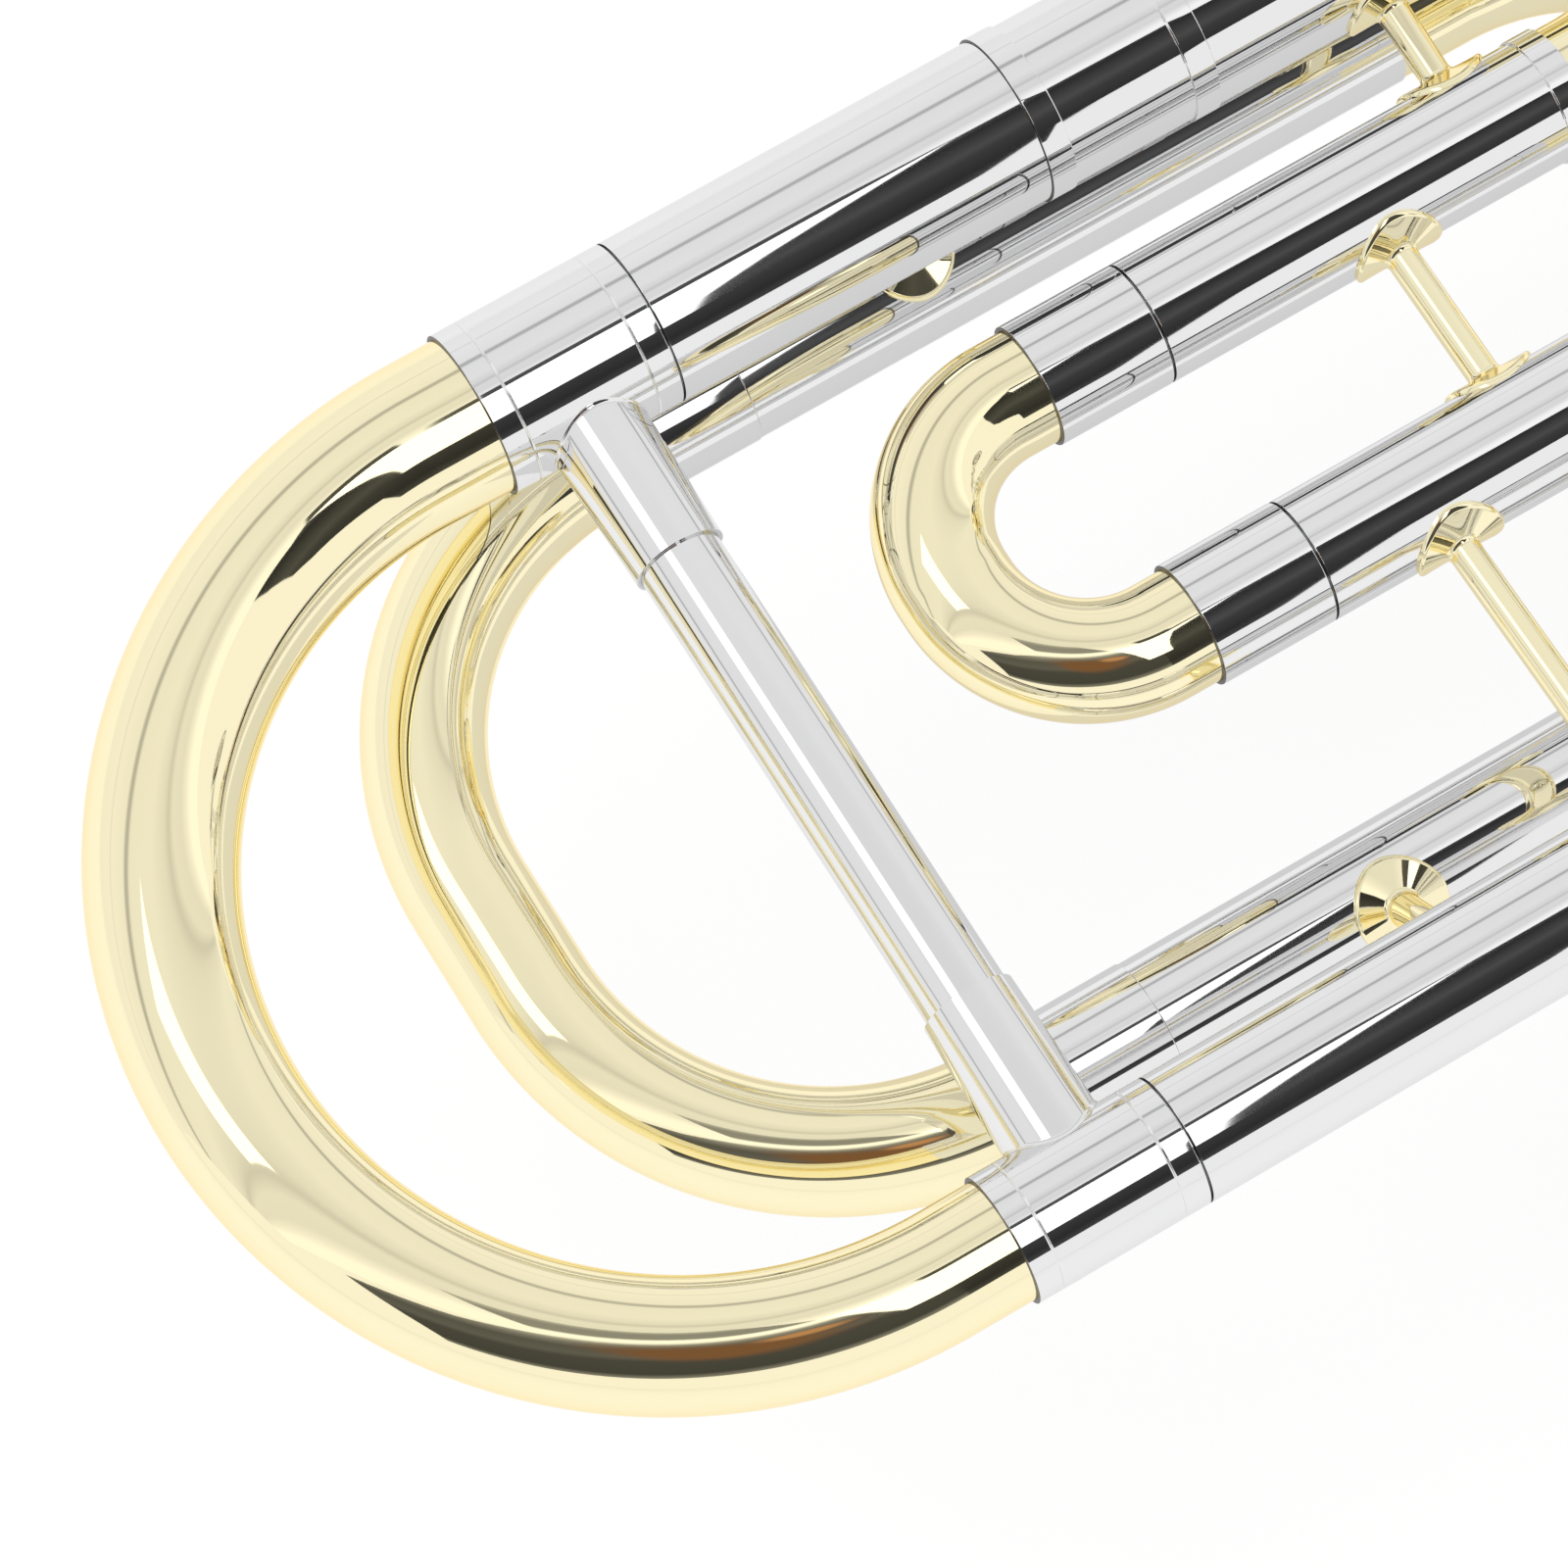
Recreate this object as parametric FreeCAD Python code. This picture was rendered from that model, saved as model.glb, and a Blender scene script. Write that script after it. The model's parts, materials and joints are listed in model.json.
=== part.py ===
import FreeCAD, Part
import math
import os

# Tenor trombone with an F attachment, in millimetres.
# Origin: centre of the mouth of the slide receiver. +X runs forward, to the bell's mouth and
# the end of the hand slide. +Y runs from the neck line to the bell line. +Z runs from the
# lower slide tube to the upper one, which holds the mouthpiece.

V = FreeCAD.Vector
X = V(1, 0, 0)
Y = V(0, 1, 0)
Z = V(0, 0, 1)

# Shared fits
running = 0.05
gap = 0.3
overrun = 20.0
round_turn = 360.0
half_turn = 180.0
quarter_turn = 90.0

# Bell leg and neck leg of the bell section
leg_spacing = 122.0
bell_leg_radius = 10.9
neck_leg_radius = 8.4
sleeve_wall = 0.55
leg_wall = 0.5

# Main tuning slide
bow_ferrule_length = 23.6
bow_straight = 7.4
bow_brass_share = 0.5
bow_stations = 13
main_leg_depth = 50.0
bell_sleeve_length = 52.1
neck_sleeve_length = 100.0
brace_tube_radius = 5.4
brace_tube_wall = 0.7
brace_socket_radius = 6.1
brace_socket_flare = 0.3
brace_socket_length = 18.4
brace_seat = 2.0

# Banded ferrule and tail tube behind the bell
band_ferrule_length = 24.2
band_width = 3.5
band_height = 0.35
tail_length = 34.0
tail_lap = 6.0
tail_step = 0.35

# Bell
bell_reach = 258.0
bell_radius = 106.0
bell_flare_power = 0.7
bell_wall = 0.6
rim_wire_radius = 2.1
bell_stations = 15
bell_spacing_power = 2.2

# Rotor valve
rotor_radius = 19.0
rotor_half_height = 10.5
rotor_float = 0.1
bore_radius = 6.9
casing_wall = 2.55
casing_top = 3.0
boss_radius = 6.5
boss_height = 2.0
spindle_radius = 3.5
arm_seat_radius = 2.5
port_angle = 45.0
port_stub = 1.6
elbow_radius = 16.0
elbow_wall = 1.2
knuckle_length = 3.0
plate_thickness = 2.5
spindle_relief = 0.4
skirt_depth = 4.0
cap_gap = 0.6
cap_thickness = 1.3
cap_wall = 1.2
cap_bead = 0.8

# Slide receiver and neck
receiver_length = 36.0
receiver_radius = 10.3
thread_radius = 11.5
thread_length = 11.0
tenon_length = 20.0
tenon_mouth_radius = 8.9
tenon_tip_radius = 8.3
neck_tube_length = 10.0
neck_tube_radius = 8.1
band_lip = 1.6

# F loop
loop_depth = 26.5
loop_tube_radius = 8.15
loop_ferrule_lap = 0.15
loop_wall = 0.55
loop_ferrule_length = 16.3
loop_ferrule_lead = 10.7
loop_bow_radius = 7.9
loop_corner_share = 0.857
loop_bow_back = 8.7
loop_low_y = 21.0
loop_high_inset = 1.9
loop_high_length = 95.2

# F tuning slide
f_slide_depth = 3.0
f_slide_inset = 30.6
f_slide_spacing = 36.6
f_sleeve_radius = 8.15
f_sleeve_length = 60.7
f_band_width = 3.6
f_band_height = 0.3
f_setback = 52.6
f_ferrule_length = 16.0
f_bow_straight = 3.9
f_corner_share = 0.965
f_leg_depth = 45.0
s_bend_radius = 20.0
s_bend_straight = 1.5
front_straight = 3.0

# Thin round flanges and rods of the brass braces
rod_radius = 2.1
flange_radius = 6.1
flange_thickness = 0.7
brace_between_legs_x = 84.5
brace_to_neck_x = 69.8
brace_to_bell_x = 101.0
loop_to_bell_x = 37.0
loop_to_neck_x = 43.2

# Bell brace in front of the valve
bell_brace_radius = 3.2
bell_brace_socket = 4.4
bell_brace_socket_length = 9.0

# Stop arm, stops, link and thumb lever
arm_radius = 10.0
arm_thickness = 2.4
arm_half_width = 2.4
arm_eye_radius = 3.4
arm_hub_radius = 5.2
arm_rise = 3.1
tooth_reach = 15.0
tooth_half_width = 2.5
tooth_height = 2.5
stop_radius = 2.6
stop_circle = 12.5
stop_height = 5.0
stop_plate_thickness = 1.0
stop_plate_reach = 16.0
stop_plate_inner = 9.0
stop_plate_half_angle = 88.0
lever_x = 28.0
lever_y = 68.0
lever_arm = 32.0
lever_hub_radius = 3.2
lever_rod_radius = 1.6
lever_hub_rise = 4.0
lever_hub_drop = 6.7
lever_thickness = 2.4
lever_half_width = 2.6
paddle_drop = 37.0
paddle_offset = 3.0
paddle_width = 19.0
paddle_length = 24.0
paddle_thickness = 2.0
paddle_rise = 2.5
link_eye_radius = 3.6
link_thickness = 1.8
link_rod_radius = 1.3
bracket_thickness = 2.4
bracket_half_width = 4.5
bracket_saddle_wall = 1.2
bracket_saddle_length = 14.0
bracket_post = 3.0
rod_foot = 1.0
spring_wire = 0.35
spring_turns = 3
spring_clearance = 0.45
spring_tail = 7.0

# Hand slide, common sizes
slide_spacing = 87.0
inner_radius = 7.25
inner_bore = 6.95
stocking_radius = 7.5
stocking_length = 100.0
outer_radius = 7.95
outer_bore = 7.56
inner_reach = 712.0
lead_pipe_length = 230.0
lead_pipe_wall = 0.4

# Hand slide, fixed half
tenon_collar_radius = 9.6
tenon_collar_length = 2.4
tenon_skirt_length = 22.0
tenon_skirt_radius = 8.6
nut_radius = 13.4
nut_lip_length = 4.0
nut_back = 10.4
nut_flutes = 12
nut_flute_radius = 1.4
nut_lip_clearance = 0.3
grip_x = 27.0
grip_length = 24.0
grip_radius = 9.2
grip_tube_radius = 4.7
grip_tube_wall = 0.7
grip_socket_radius = 5.9
grip_socket_length = 8.0
barrel_x = 54.0
barrel_length = 36.0
barrel_radius = 10.6
barrel_wall = 1.1
barrel_bead = 0.5
barrel_bead_width = 3.0
barrel_floor = 3.0
mouth_socket_back = 16.0
mouth_socket_length = 40.0
mouth_socket_radius = 9.2
mouth_socket_band = 0.9
mouth_socket_band_width = 5.0
shank_depth = 22.0
shank_mouth_radius = 6.35
shank_tip_radius = 5.8

# Slide lock ring on the lower cork barrel
lock_width = 9.0
lock_wall = 1.3
lock_arm_angle = 18.0
lock_hook_width = 2.4
lock_hook_angle = 34.0
lock_seat_angle = 50.0
lug_height = 2.1
lug_width = 3.0
lug_angle = 14.0

# Hand slide, moving half
outer_back = 73.0
outer_end_gap = 10.0
outer_grip_x = 94.0
outer_grip_length = 48.0
outer_grip_radius = 9.2
outer_grip_tube_setback = 10.0
crook_straight = 30.0
crook_ferrule_length = 18.0
crook_ferrule_lap = 10.0
crook_ferrule_radius = 8.7
bumper_socket_radius = 5.6
bumper_socket_length = 4.0
bumper_radius = 7.2
bumper_front_radius = 5.6
bumper_length = 9.0
bumper_lap = 2.5

# Water key on the lower leg of the crook
nipple_x = 26.0
nipple_radius = 3.8
nipple_bore = 2.3
nipple_height = 2.6
key_pivot_x = 13.0
key_pivot_drop = 13.6
key_saddle_thickness = 0.55
key_saddle_half_angle = 62.0
key_pin_end = 0.5
key_post_half_gap = 5.6
key_post_thickness = 1.4
key_post_radius = 2.6
key_pin_radius = 0.9
key_hub_radius = 2.1
key_arm_half_width = 1.9
key_arm_thickness = 1.6
key_arm_length = 22.0
key_arm_fall = 3.0
key_finger_radius = 5.0
key_spring_wire = 0.2
key_spring_turns = 2
key_spring_tail = 4.0
key_spring_clearance = 0.3
key_cup_radius = 4.4
key_cup_depth = 2.2
key_cork_radius = 3.9
key_cork_thickness = 1.7
key_seat_gap = 0.3

# Mouthpiece
mouthpiece_length = 84.0
mouthpiece_rim_radius = 19.4
mouthpiece_cup_radius = 12.8
mouthpiece_throat = 3.4
mouthpiece_tip_wall = 0.9
mouthpiece_rim_height = 2.0
mouthpiece_bowl_depth = 26.0
mouthpiece_throat_length = 8.0
mouthpiece_bowl_shares = ((0.3, 0.88), (0.62, 0.62), (0.86, 0.37))
mouthpiece_body_shares = ((0.06, 0.96), (0.1, 0.84), (0.3, 0.62), (0.42, 0.4))
mouthpiece_neck_share = 0.52
mouthpiece_neck_radius = 6.9


def port_point():
    """Where a port's line ends, measured from the rotor's centre along X and across it."""
    reach = rotor_radius + casing_wall + port_stub
    turn = math.radians(port_angle)
    along = reach * math.cos(turn) + elbow_radius * math.sin(turn) + knuckle_length
    across = reach * math.sin(turn) + elbow_radius * (1 - math.cos(turn))
    return along, across


def s_bend_size(lateral):
    """Turn angle and length of two equal opposite arcs that shift a tube sideways."""
    turn = math.acos(1 - lateral / (2 * s_bend_radius))
    return turn, 2 * s_bend_radius * math.sin(turn)


loop_high_y = leg_spacing - loop_high_inset
f_slide_high_y = leg_spacing - f_slide_inset
f_slide_low_y = f_slide_high_y - f_slide_spacing
outer_front = inner_reach + outer_end_gap
port_run, line_offset = port_point()
rotor_x = -receiver_length - neck_tube_length - port_run
rotor_centre = V(rotor_x, line_offset, 0)
loop_port_y = 2 * line_offset
f_shift = V(0, loop_port_y - f_slide_low_y, f_slide_depth)
s_turn, s_run = s_bend_size(f_shift.Length)
f_sleeve_end = rotor_x - port_run - s_run - 2 * s_bend_straight
sleeve_x = f_sleeve_end - f_sleeve_length - f_setback
bell_axis = V(0, leg_spacing, 0)
tail_x = sleeve_x + bell_sleeve_length + band_ferrule_length
bell_leg_bore = bell_leg_radius - sleeve_wall
neck_leg_bore = neck_leg_radius - sleeve_wall
bell_inner_leg = bell_leg_bore - running
neck_inner_leg = neck_leg_bore - running
f_inner_leg = f_sleeve_radius - sleeve_wall - running
casing_radius = rotor_radius + casing_wall
elbow_outer = bore_radius + elbow_wall
casing_top_z = rotor_half_height + rotor_float + casing_top
brace_x = -receiver_length / 2
arm_bottom = casing_top_z + boss_height + gap
arm_level = arm_bottom + arm_rise
lever_level = arm_level
lever_hub_bottom = lever_level - lever_hub_drop
lever_hub_top = lever_level + lever_hub_rise
shelf_top = lever_hub_bottom - gap
lever_swing = 2 * math.asin(arm_radius * math.sin(math.radians(quarter_turn / 2)) / lever_arm)
lever_centre = V(-lever_x, lever_y, 0)
upper_slide = V(0, 0, slide_spacing)


def disc(centre, direction, radius):
    return Part.Face(Part.Wire(Part.makeCircle(radius, centre, direction)))


def annulus(centre, direction, outer, inner):
    return disc(centre, direction, outer).cut(disc(centre, direction, inner)).Faces[0]


def tube(start, direction, length, outer, inner):
    """A straight tube with a round bore."""
    return annulus(start, direction, outer, inner).extrude(direction * length)


def rod(start, direction, length, radius):
    return Part.makeCylinder(radius, length, start, direction)


def cone(start, direction, length, first, last):
    return Part.makeCone(first, last, length, start, direction)


def turned(points, base, axis=X):
    """A closed outline of (distance along X, radius) points, turned about a line along X."""
    corners = [V(base.x + a, base.y, base.z + r) for a, r in points]
    outline = Part.makePolygon(corners + corners[:1])
    return Part.Face(outline).revolve(base, axis, round_turn)


def joined(shapes):
    first = shapes[0]
    if len(shapes) == 1:
        return first
    return first.fuse(shapes[1:]).removeSplitter()


def pipe(start, direction, steps, outer, inner):
    """A tube that follows straight runs and tangent turns; returns it and its far end."""
    place = start
    heading = direction
    pieces = []
    for step in steps:
        if len(step) == 1:
            length = step[0]
            if length > 0:
                pieces.append(tube(place, heading, length, outer, inner))
            place = place + heading * length
            continue
        radius, axis, angle = step
        centre = place + axis.cross(heading) * radius
        pieces.append(annulus(place, heading, outer, inner).revolve(centre, axis, angle))
        turn = FreeCAD.Rotation(axis, angle)
        place = centre + turn.multVec(place - centre)
        heading = turn.multVec(heading)
    return joined(pieces), place


def return_bow(x, low, high, corner, straight, outer, inner):
    """A bow between two tube ends at x that face -X: straights, equal corners, flat back."""
    across = high - low
    spread = across.Length
    across.normalize()
    start = V(x, low.y, low.z)
    axis = across.cross(-X)
    flat = spread - 2 * corner
    steps = [(straight,), (corner, -axis, quarter_turn)]
    if flat > 0:
        steps.append((flat,))
    steps += [(corner, -axis, quarter_turn), (straight,)]
    return pipe(start, -X, steps, outer, inner)[0]


def front_bow(x, low, high, straight, outer, inner):
    """A half-round bow that joins two tubes whose ends face +X."""
    across = high - low
    radius = across.Length / 2
    across.normalize()
    steps = [(straight,), (radius, X.cross(across), half_turn), (straight,)]
    return pipe(V(x, low.y, low.z), X, steps, outer, inner)[0]


def saddle_flange(centre, tube_radius, towards, x):
    """A thin round flange bent round a tube that runs along X."""
    start = V(x - overrun / 2, centre.y, centre.z)
    skin = tube(start, X, overrun, tube_radius + flange_thickness, tube_radius)
    return skin.common(rod(V(x, centre.y, centre.z), towards, overrun, flange_radius))


def rod_brace(first, first_radius, second, second_radius, x):
    """A round rod with a flange at each end, between two tubes that run along X."""
    span = second - first
    reach = span.Length
    towards = V(span)
    towards.normalize()
    bar = rod(V(x, first.y, first.z), towards, reach, rod_radius)
    for centre, radius in ((first, first_radius), (second, second_radius)):
        bar = bar.cut(rod(V(x - overrun, centre.y, centre.z), X, 2 * overrun, radius))
    return joined([bar, saddle_flange(first, first_radius, towards, x),
                   saddle_flange(second, second_radius, -towards, x)])


def arc_block(centre, axis, across, inner, outer, length, angle):
    """Part of a ring: a rectangle from the inner to the outer radius, turned by an angle."""
    corners = [centre + across * inner, centre + across * outer,
               centre + across * outer + axis * length, centre + across * inner + axis * length]
    return Part.Face(Part.makePolygon(corners + corners[:1])).revolve(centre, axis, angle)


def coil(base, turn, mean_radius, pitch, turns, wire, tail):
    """A wire coil about Z with a straight tail at each end, turned and moved to base."""
    quarters = 4 * turns
    points = []
    for n in range(2 * quarters + 1):
        angle = n * math.pi / 4
        climb = pitch * angle / (2 * math.pi)
        points.append(V(mean_radius * math.cos(angle), mean_radius * math.sin(angle), climb))
    edges = [Part.Arc(*points[2 * n:2 * n + 3]).toShape() for n in range(quarters)]
    slope = V(0, 2 * math.pi * mean_radius, pitch)
    slope.normalize()
    first = points[0] - slope * tail
    edges = ([Part.makeLine(first, points[0])] + edges
             + [Part.makeLine(points[-1], points[-1] + slope * tail)])
    ring = Part.Wire(Part.makeCircle(wire, first, slope))
    spring = Part.Wire(edges).makePipeShell([ring], True, False)
    spring.Placement = FreeCAD.Placement(base, turn)
    print("coil gap to itself", round(pitch * math.cos(math.atan(pitch / (2 * math.pi
          * mean_radius))) - 2 * wire, 3))
    return spring


# Bell leg, from the tuning slide to the bell

def bell_side_sleeve():
    return tube(V(sleeve_x, leg_spacing, 0), X, bell_sleeve_length, bell_leg_radius,
                bell_leg_bore)


def banded_ferrule():
    start = sleeve_x + bell_sleeve_length
    raised = bell_leg_radius + band_height
    outline = [(0, bell_leg_bore), (0, raised), (band_width, raised),
               (band_width, bell_leg_radius),
               (band_ferrule_length - band_width, bell_leg_radius),
               (band_ferrule_length - band_width, raised), (band_ferrule_length, raised),
               (band_ferrule_length, bell_leg_bore)]
    return turned(outline, V(start, leg_spacing, 0))


def bell_tail_tube():
    lap = tail_length - tail_lap
    wide = bell_leg_radius - tail_step
    outline = [(0, bell_leg_bore), (0, bell_leg_radius), (tail_length, bell_leg_radius),
               (tail_length, wide), (lap, wide), (lap, bell_leg_bore)]
    return turned(outline, V(tail_x, leg_spacing, 0))


def bell_flare(distance, length):
    """Bell radius at a distance back from the rim, and the slope of the wall there."""
    small = bell_leg_radius - tail_step
    start = length / ((bell_radius / small) ** (1 / bell_flare_power) - 1)
    radius = bell_radius * (start / (distance + start)) ** bell_flare_power
    return radius, -bell_flare_power * radius / (distance + start)


def bell_curve(wall):
    """Points down the bell's outside, or one wall thickness inside it, and their curve."""
    length = bell_reach - tail_x - tail_length
    points = []
    for n in range(bell_stations):
        distance = length * (n / (bell_stations - 1)) ** bell_spacing_power
        radius, slope = bell_flare(distance, length)
        lean = math.hypot(1, slope)
        points.append(V(bell_reach - distance - slope / lean * wall, leg_spacing,
                        radius - wall / lean))
    curve = Part.BSplineCurve()
    curve.interpolate(points)
    return points, curve.toShape()


def bell_turned(edges):
    outline = Part.Wire(Part.__sortEdges__(edges))
    return Part.Face(outline).revolve(bell_axis, X, round_turn)


def bell_filled():
    """The bell's outside as one solid, for what has to meet it."""
    points, curve = bell_curve(0)
    mouth = V(points[0].x, leg_spacing, 0)
    tail = V(points[-1].x, leg_spacing, 0)
    return bell_turned([curve, Part.makeLine(points[-1], tail), Part.makeLine(tail, mouth),
                        Part.makeLine(mouth, points[0])])


def bell():
    """Flared sheet from the tail to the mouth, with its edge rolled round a wire."""
    start = tail_x + tail_length - tail_lap
    outside, outer_curve = bell_curve(0)
    inside, inner_curve = bell_curve(bell_wall)
    tail_out = V(start, leg_spacing, outside[-1].z)
    tail_in = V(start, leg_spacing, inside[-1].z)
    sheet = bell_turned([outer_curve, Part.makeLine(outside[-1], tail_out),
                         Part.makeLine(tail_out, tail_in),
                         Part.makeLine(tail_in, inside[-1]), inner_curve,
                         Part.makeLine(inside[0], outside[0])])
    wire = Part.makeTorus(bell_radius, rim_wire_radius, V(bell_reach, leg_spacing, 0), X)
    return joined([sheet, wire])


# Main tuning slide

def bow_rings(wall):
    """Circles round the half-round bow, narrowing from the bell leg to the neck leg."""
    centre = V(sleeve_x - bow_ferrule_length - bow_straight, leg_spacing / 2, 0)
    rings = []
    for n in range(bow_stations):
        share = n / (bow_stations - 1)
        radius = bell_inner_leg + (neck_inner_leg - bell_inner_leg) * share - wall
        ring = Part.makeCircle(radius, V(centre.x, leg_spacing, 0), X)
        ring.rotate(centre, Z, half_turn * share)
        rings.append(Part.Wire(ring))
    return rings


def main_tuning_bow():
    curve = Part.makeLoft(bow_rings(0), True, False)
    curve = curve.cut(Part.makeLoft(bow_rings(leg_wall), True, False))
    length = bow_straight + bow_ferrule_length * bow_brass_share
    start = sleeve_x - bow_ferrule_length - bow_straight
    legs = [tube(V(start, y, 0), X, length, radius, radius - leg_wall)
            for y, radius in ((leg_spacing, bell_inner_leg), (0, neck_inner_leg))]
    return joined([curve] + legs)


def main_slide_legs():
    start = sleeve_x - bow_ferrule_length * bow_brass_share
    length = main_leg_depth + bow_ferrule_length * bow_brass_share
    return Part.makeCompound([tube(V(start, y, 0), X, length, radius, radius - leg_wall)
                              for y, radius in ((leg_spacing, bell_inner_leg),
                                                (0, neck_inner_leg))])


def main_bow_ferrules():
    start = sleeve_x - bow_ferrule_length
    length = bow_ferrule_length - gap
    return Part.makeCompound([
        tube(V(start, leg_spacing, 0), X, length, bell_leg_radius, bell_inner_leg),
        tube(V(start, 0, 0), X, length, neck_leg_radius, neck_inner_leg)])


def main_brace_x():
    return sleeve_x - bow_ferrule_length / 2


def main_brace_tube():
    start = neck_leg_radius + brace_seat
    length = leg_spacing - bell_leg_radius - brace_seat - start
    return tube(V(main_brace_x(), start, 0), Y, length, brace_tube_radius,
                brace_tube_radius - brace_tube_wall)


def main_brace_sockets():
    x = main_brace_x()
    sockets = []
    for y, leg, direction in ((leg_spacing, bell_leg_radius, -Y), (0, neck_leg_radius, Y)):
        start = V(x, y, 0)
        length = leg + brace_socket_length
        body = cone(start, direction, length, brace_socket_radius + brace_socket_flare,
                    brace_socket_radius)
        body = body.cut(rod(start, direction, length, brace_tube_radius))
        sockets.append(body.cut(rod(V(x - overrun, y, 0), X, 2 * overrun, leg)))
    return Part.makeCompound(sockets)


# Neck line: sleeve, tube to the valve, valve, tube to the receiver

def neck_side_sleeve():
    return tube(V(sleeve_x, 0, 0), X, neck_sleeve_length, neck_leg_radius, neck_leg_bore)


def rear_neck_tube():
    start = sleeve_x + neck_sleeve_length
    return tube(V(start, 0, 0), X, rotor_x - port_run - start, neck_tube_radius, bore_radius)


def front_neck_tube():
    return tube(V(-receiver_length - neck_tube_length, 0, 0), X, neck_tube_length,
                neck_tube_radius, bore_radius)


def slide_receiver():
    back = -receiver_length
    outline = [(back, bore_radius), (back, neck_tube_radius + band_lip),
               (back + band_lip, receiver_radius), (-thread_length - band_lip, receiver_radius),
               (-thread_length, thread_radius), (0, thread_radius), (0, tenon_mouth_radius),
               (-tenon_length, tenon_tip_radius), (-tenon_length, bore_radius)]
    return turned(outline, V(0, 0, 0))


def port_paths():
    """Start, heading and turning axis of the four port elbows."""
    turn = math.radians(port_angle)
    for side in (1, -1):
        for along in (1, -1):
            heading = V(along * math.cos(turn), side * math.sin(turn), 0)
            yield heading, Z * (-side * along)


def port_cores(radius):
    """Round bars along the four ways from the rotor out through the elbows."""
    reach = casing_radius + port_stub
    cores = []
    for heading, axis in port_paths():
        start = rotor_centre + heading * reach
        centre = start + axis.cross(heading) * elbow_radius
        ring = Part.Face(Part.Wire(Part.makeCircle(radius, start, heading)))
        straight = rod(rotor_centre, heading, reach, radius)
        bend = ring.revolve(centre, axis, port_angle)
        turn = FreeCAD.Rotation(axis, port_angle)
        end = centre + turn.multVec(start - centre)
        cores += [straight, bend, rod(end, turn.multVec(heading), knuckle_length, radius)]
    return cores


def casing_bottom():
    return -rotor_half_height - rotor_float - plate_thickness - cap_gap


def rotor_casing():
    """Round casing with a closed front wall, a bearing boss and four port elbows."""
    low = V(rotor_x, line_offset, casing_bottom())
    height = casing_top_z - casing_bottom()
    shell = joined([rod(low, Z, height, casing_radius)] + port_cores(elbow_outer))
    boss = rod(V(rotor_x, line_offset, casing_top_z), Z, boss_height, boss_radius)
    shell = joined([shell, boss])
    cavity = rod(low, Z, height - casing_top, rotor_radius + running)
    spindle = rod(low, Z, overrun + height, spindle_radius + running)
    return joined([shell.cut([cavity, spindle] + port_cores(bore_radius)), stop_plate()])


def rotor():
    """Solid rotor with two quarter-round passages and a spindle at each end."""
    low = V(rotor_x, line_offset, -rotor_half_height)
    body = rod(low, Z, 2 * rotor_half_height, rotor_radius)
    passage_radius = rotor_radius * math.tan(math.radians(port_angle))
    offset = rotor_radius / math.cos(math.radians(port_angle))
    for side in (1, -1):
        centre = V(rotor_x, line_offset + side * offset, 0)
        body = body.cut(Part.makeTorus(passage_radius, bore_radius, centre, Z))
    foot = plate_thickness + rotor_float - spindle_relief
    lower = rod(V(rotor_x, line_offset, -rotor_half_height), -Z, foot, spindle_radius)
    upper = rod(V(rotor_x, line_offset, rotor_half_height), Z,
                arm_bottom - gap - rotor_half_height, spindle_radius)
    seat = rod(V(rotor_x, line_offset, rotor_half_height), Z,
               arm_level + arm_thickness - rotor_half_height, arm_seat_radius)
    return joined([body, lower, upper, seat])


def rotor_bearing_plate():
    top = -rotor_half_height - rotor_float
    return tube(V(rotor_x, line_offset, top), -Z, plate_thickness, rotor_radius + running,
                spindle_radius + running)


def rotor_cap():
    """Screw cap over the bearing plate, a shallow cup with a beaded edge."""
    bottom = casing_bottom()
    radius = casing_radius + cap_wall
    body = rod(V(rotor_x, line_offset, bottom - cap_thickness), Z,
               cap_thickness + skirt_depth, radius)
    bead = rod(V(rotor_x, line_offset, bottom + skirt_depth - cap_thickness), Z,
               cap_thickness, radius + cap_bead)
    hollow = rod(V(rotor_x, line_offset, bottom), Z, skirt_depth, casing_radius)
    return joined([body, bead]).cut(hollow)


# F loop and its bows

def loop_low():
    return V(0, loop_low_y, -loop_depth)


def loop_high():
    return V(0, loop_high_y, -loop_depth)


def slide_low():
    return V(0, f_slide_low_y, -f_slide_depth)


def slide_high():
    return V(0, f_slide_high_y, -f_slide_depth)


def loop_tube_start():
    return sleeve_x + loop_ferrule_lead


def f_loop_bow():
    corner = (loop_high_y - loop_low_y) / 2 * loop_corner_share
    end = loop_tube_start() - loop_ferrule_length / 2
    straight = end - (sleeve_x - loop_bow_back)
    return return_bow(end, loop_low(), loop_high(), corner, straight, loop_bow_radius,
                      loop_bow_radius - loop_wall)


def f_loop_ferrules():
    start = loop_tube_start() - loop_ferrule_length
    outer = loop_tube_radius + loop_ferrule_lap
    return Part.makeCompound([tube(V(start, y, -loop_depth), X, loop_ferrule_length, outer,
                                   loop_bow_radius) for y in (loop_low_y, loop_high_y)])


def f_loop_lower_tube():
    start = loop_tube_start()
    length = -receiver_length - neck_tube_length - start
    return tube(V(start, loop_low_y, -loop_depth), X, length, loop_tube_radius,
                loop_tube_radius - loop_wall)


def f_loop_upper_tube():
    return tube(V(loop_tube_start(), loop_high_y, -loop_depth), X, loop_high_length,
                loop_tube_radius, loop_tube_radius - loop_wall)


def f_lower_front_bow():
    x = -receiver_length - neck_tube_length
    return front_bow(x, loop_low(), V(0, loop_port_y, 0), front_straight,
                     loop_bow_radius, loop_bow_radius - loop_wall)


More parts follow.
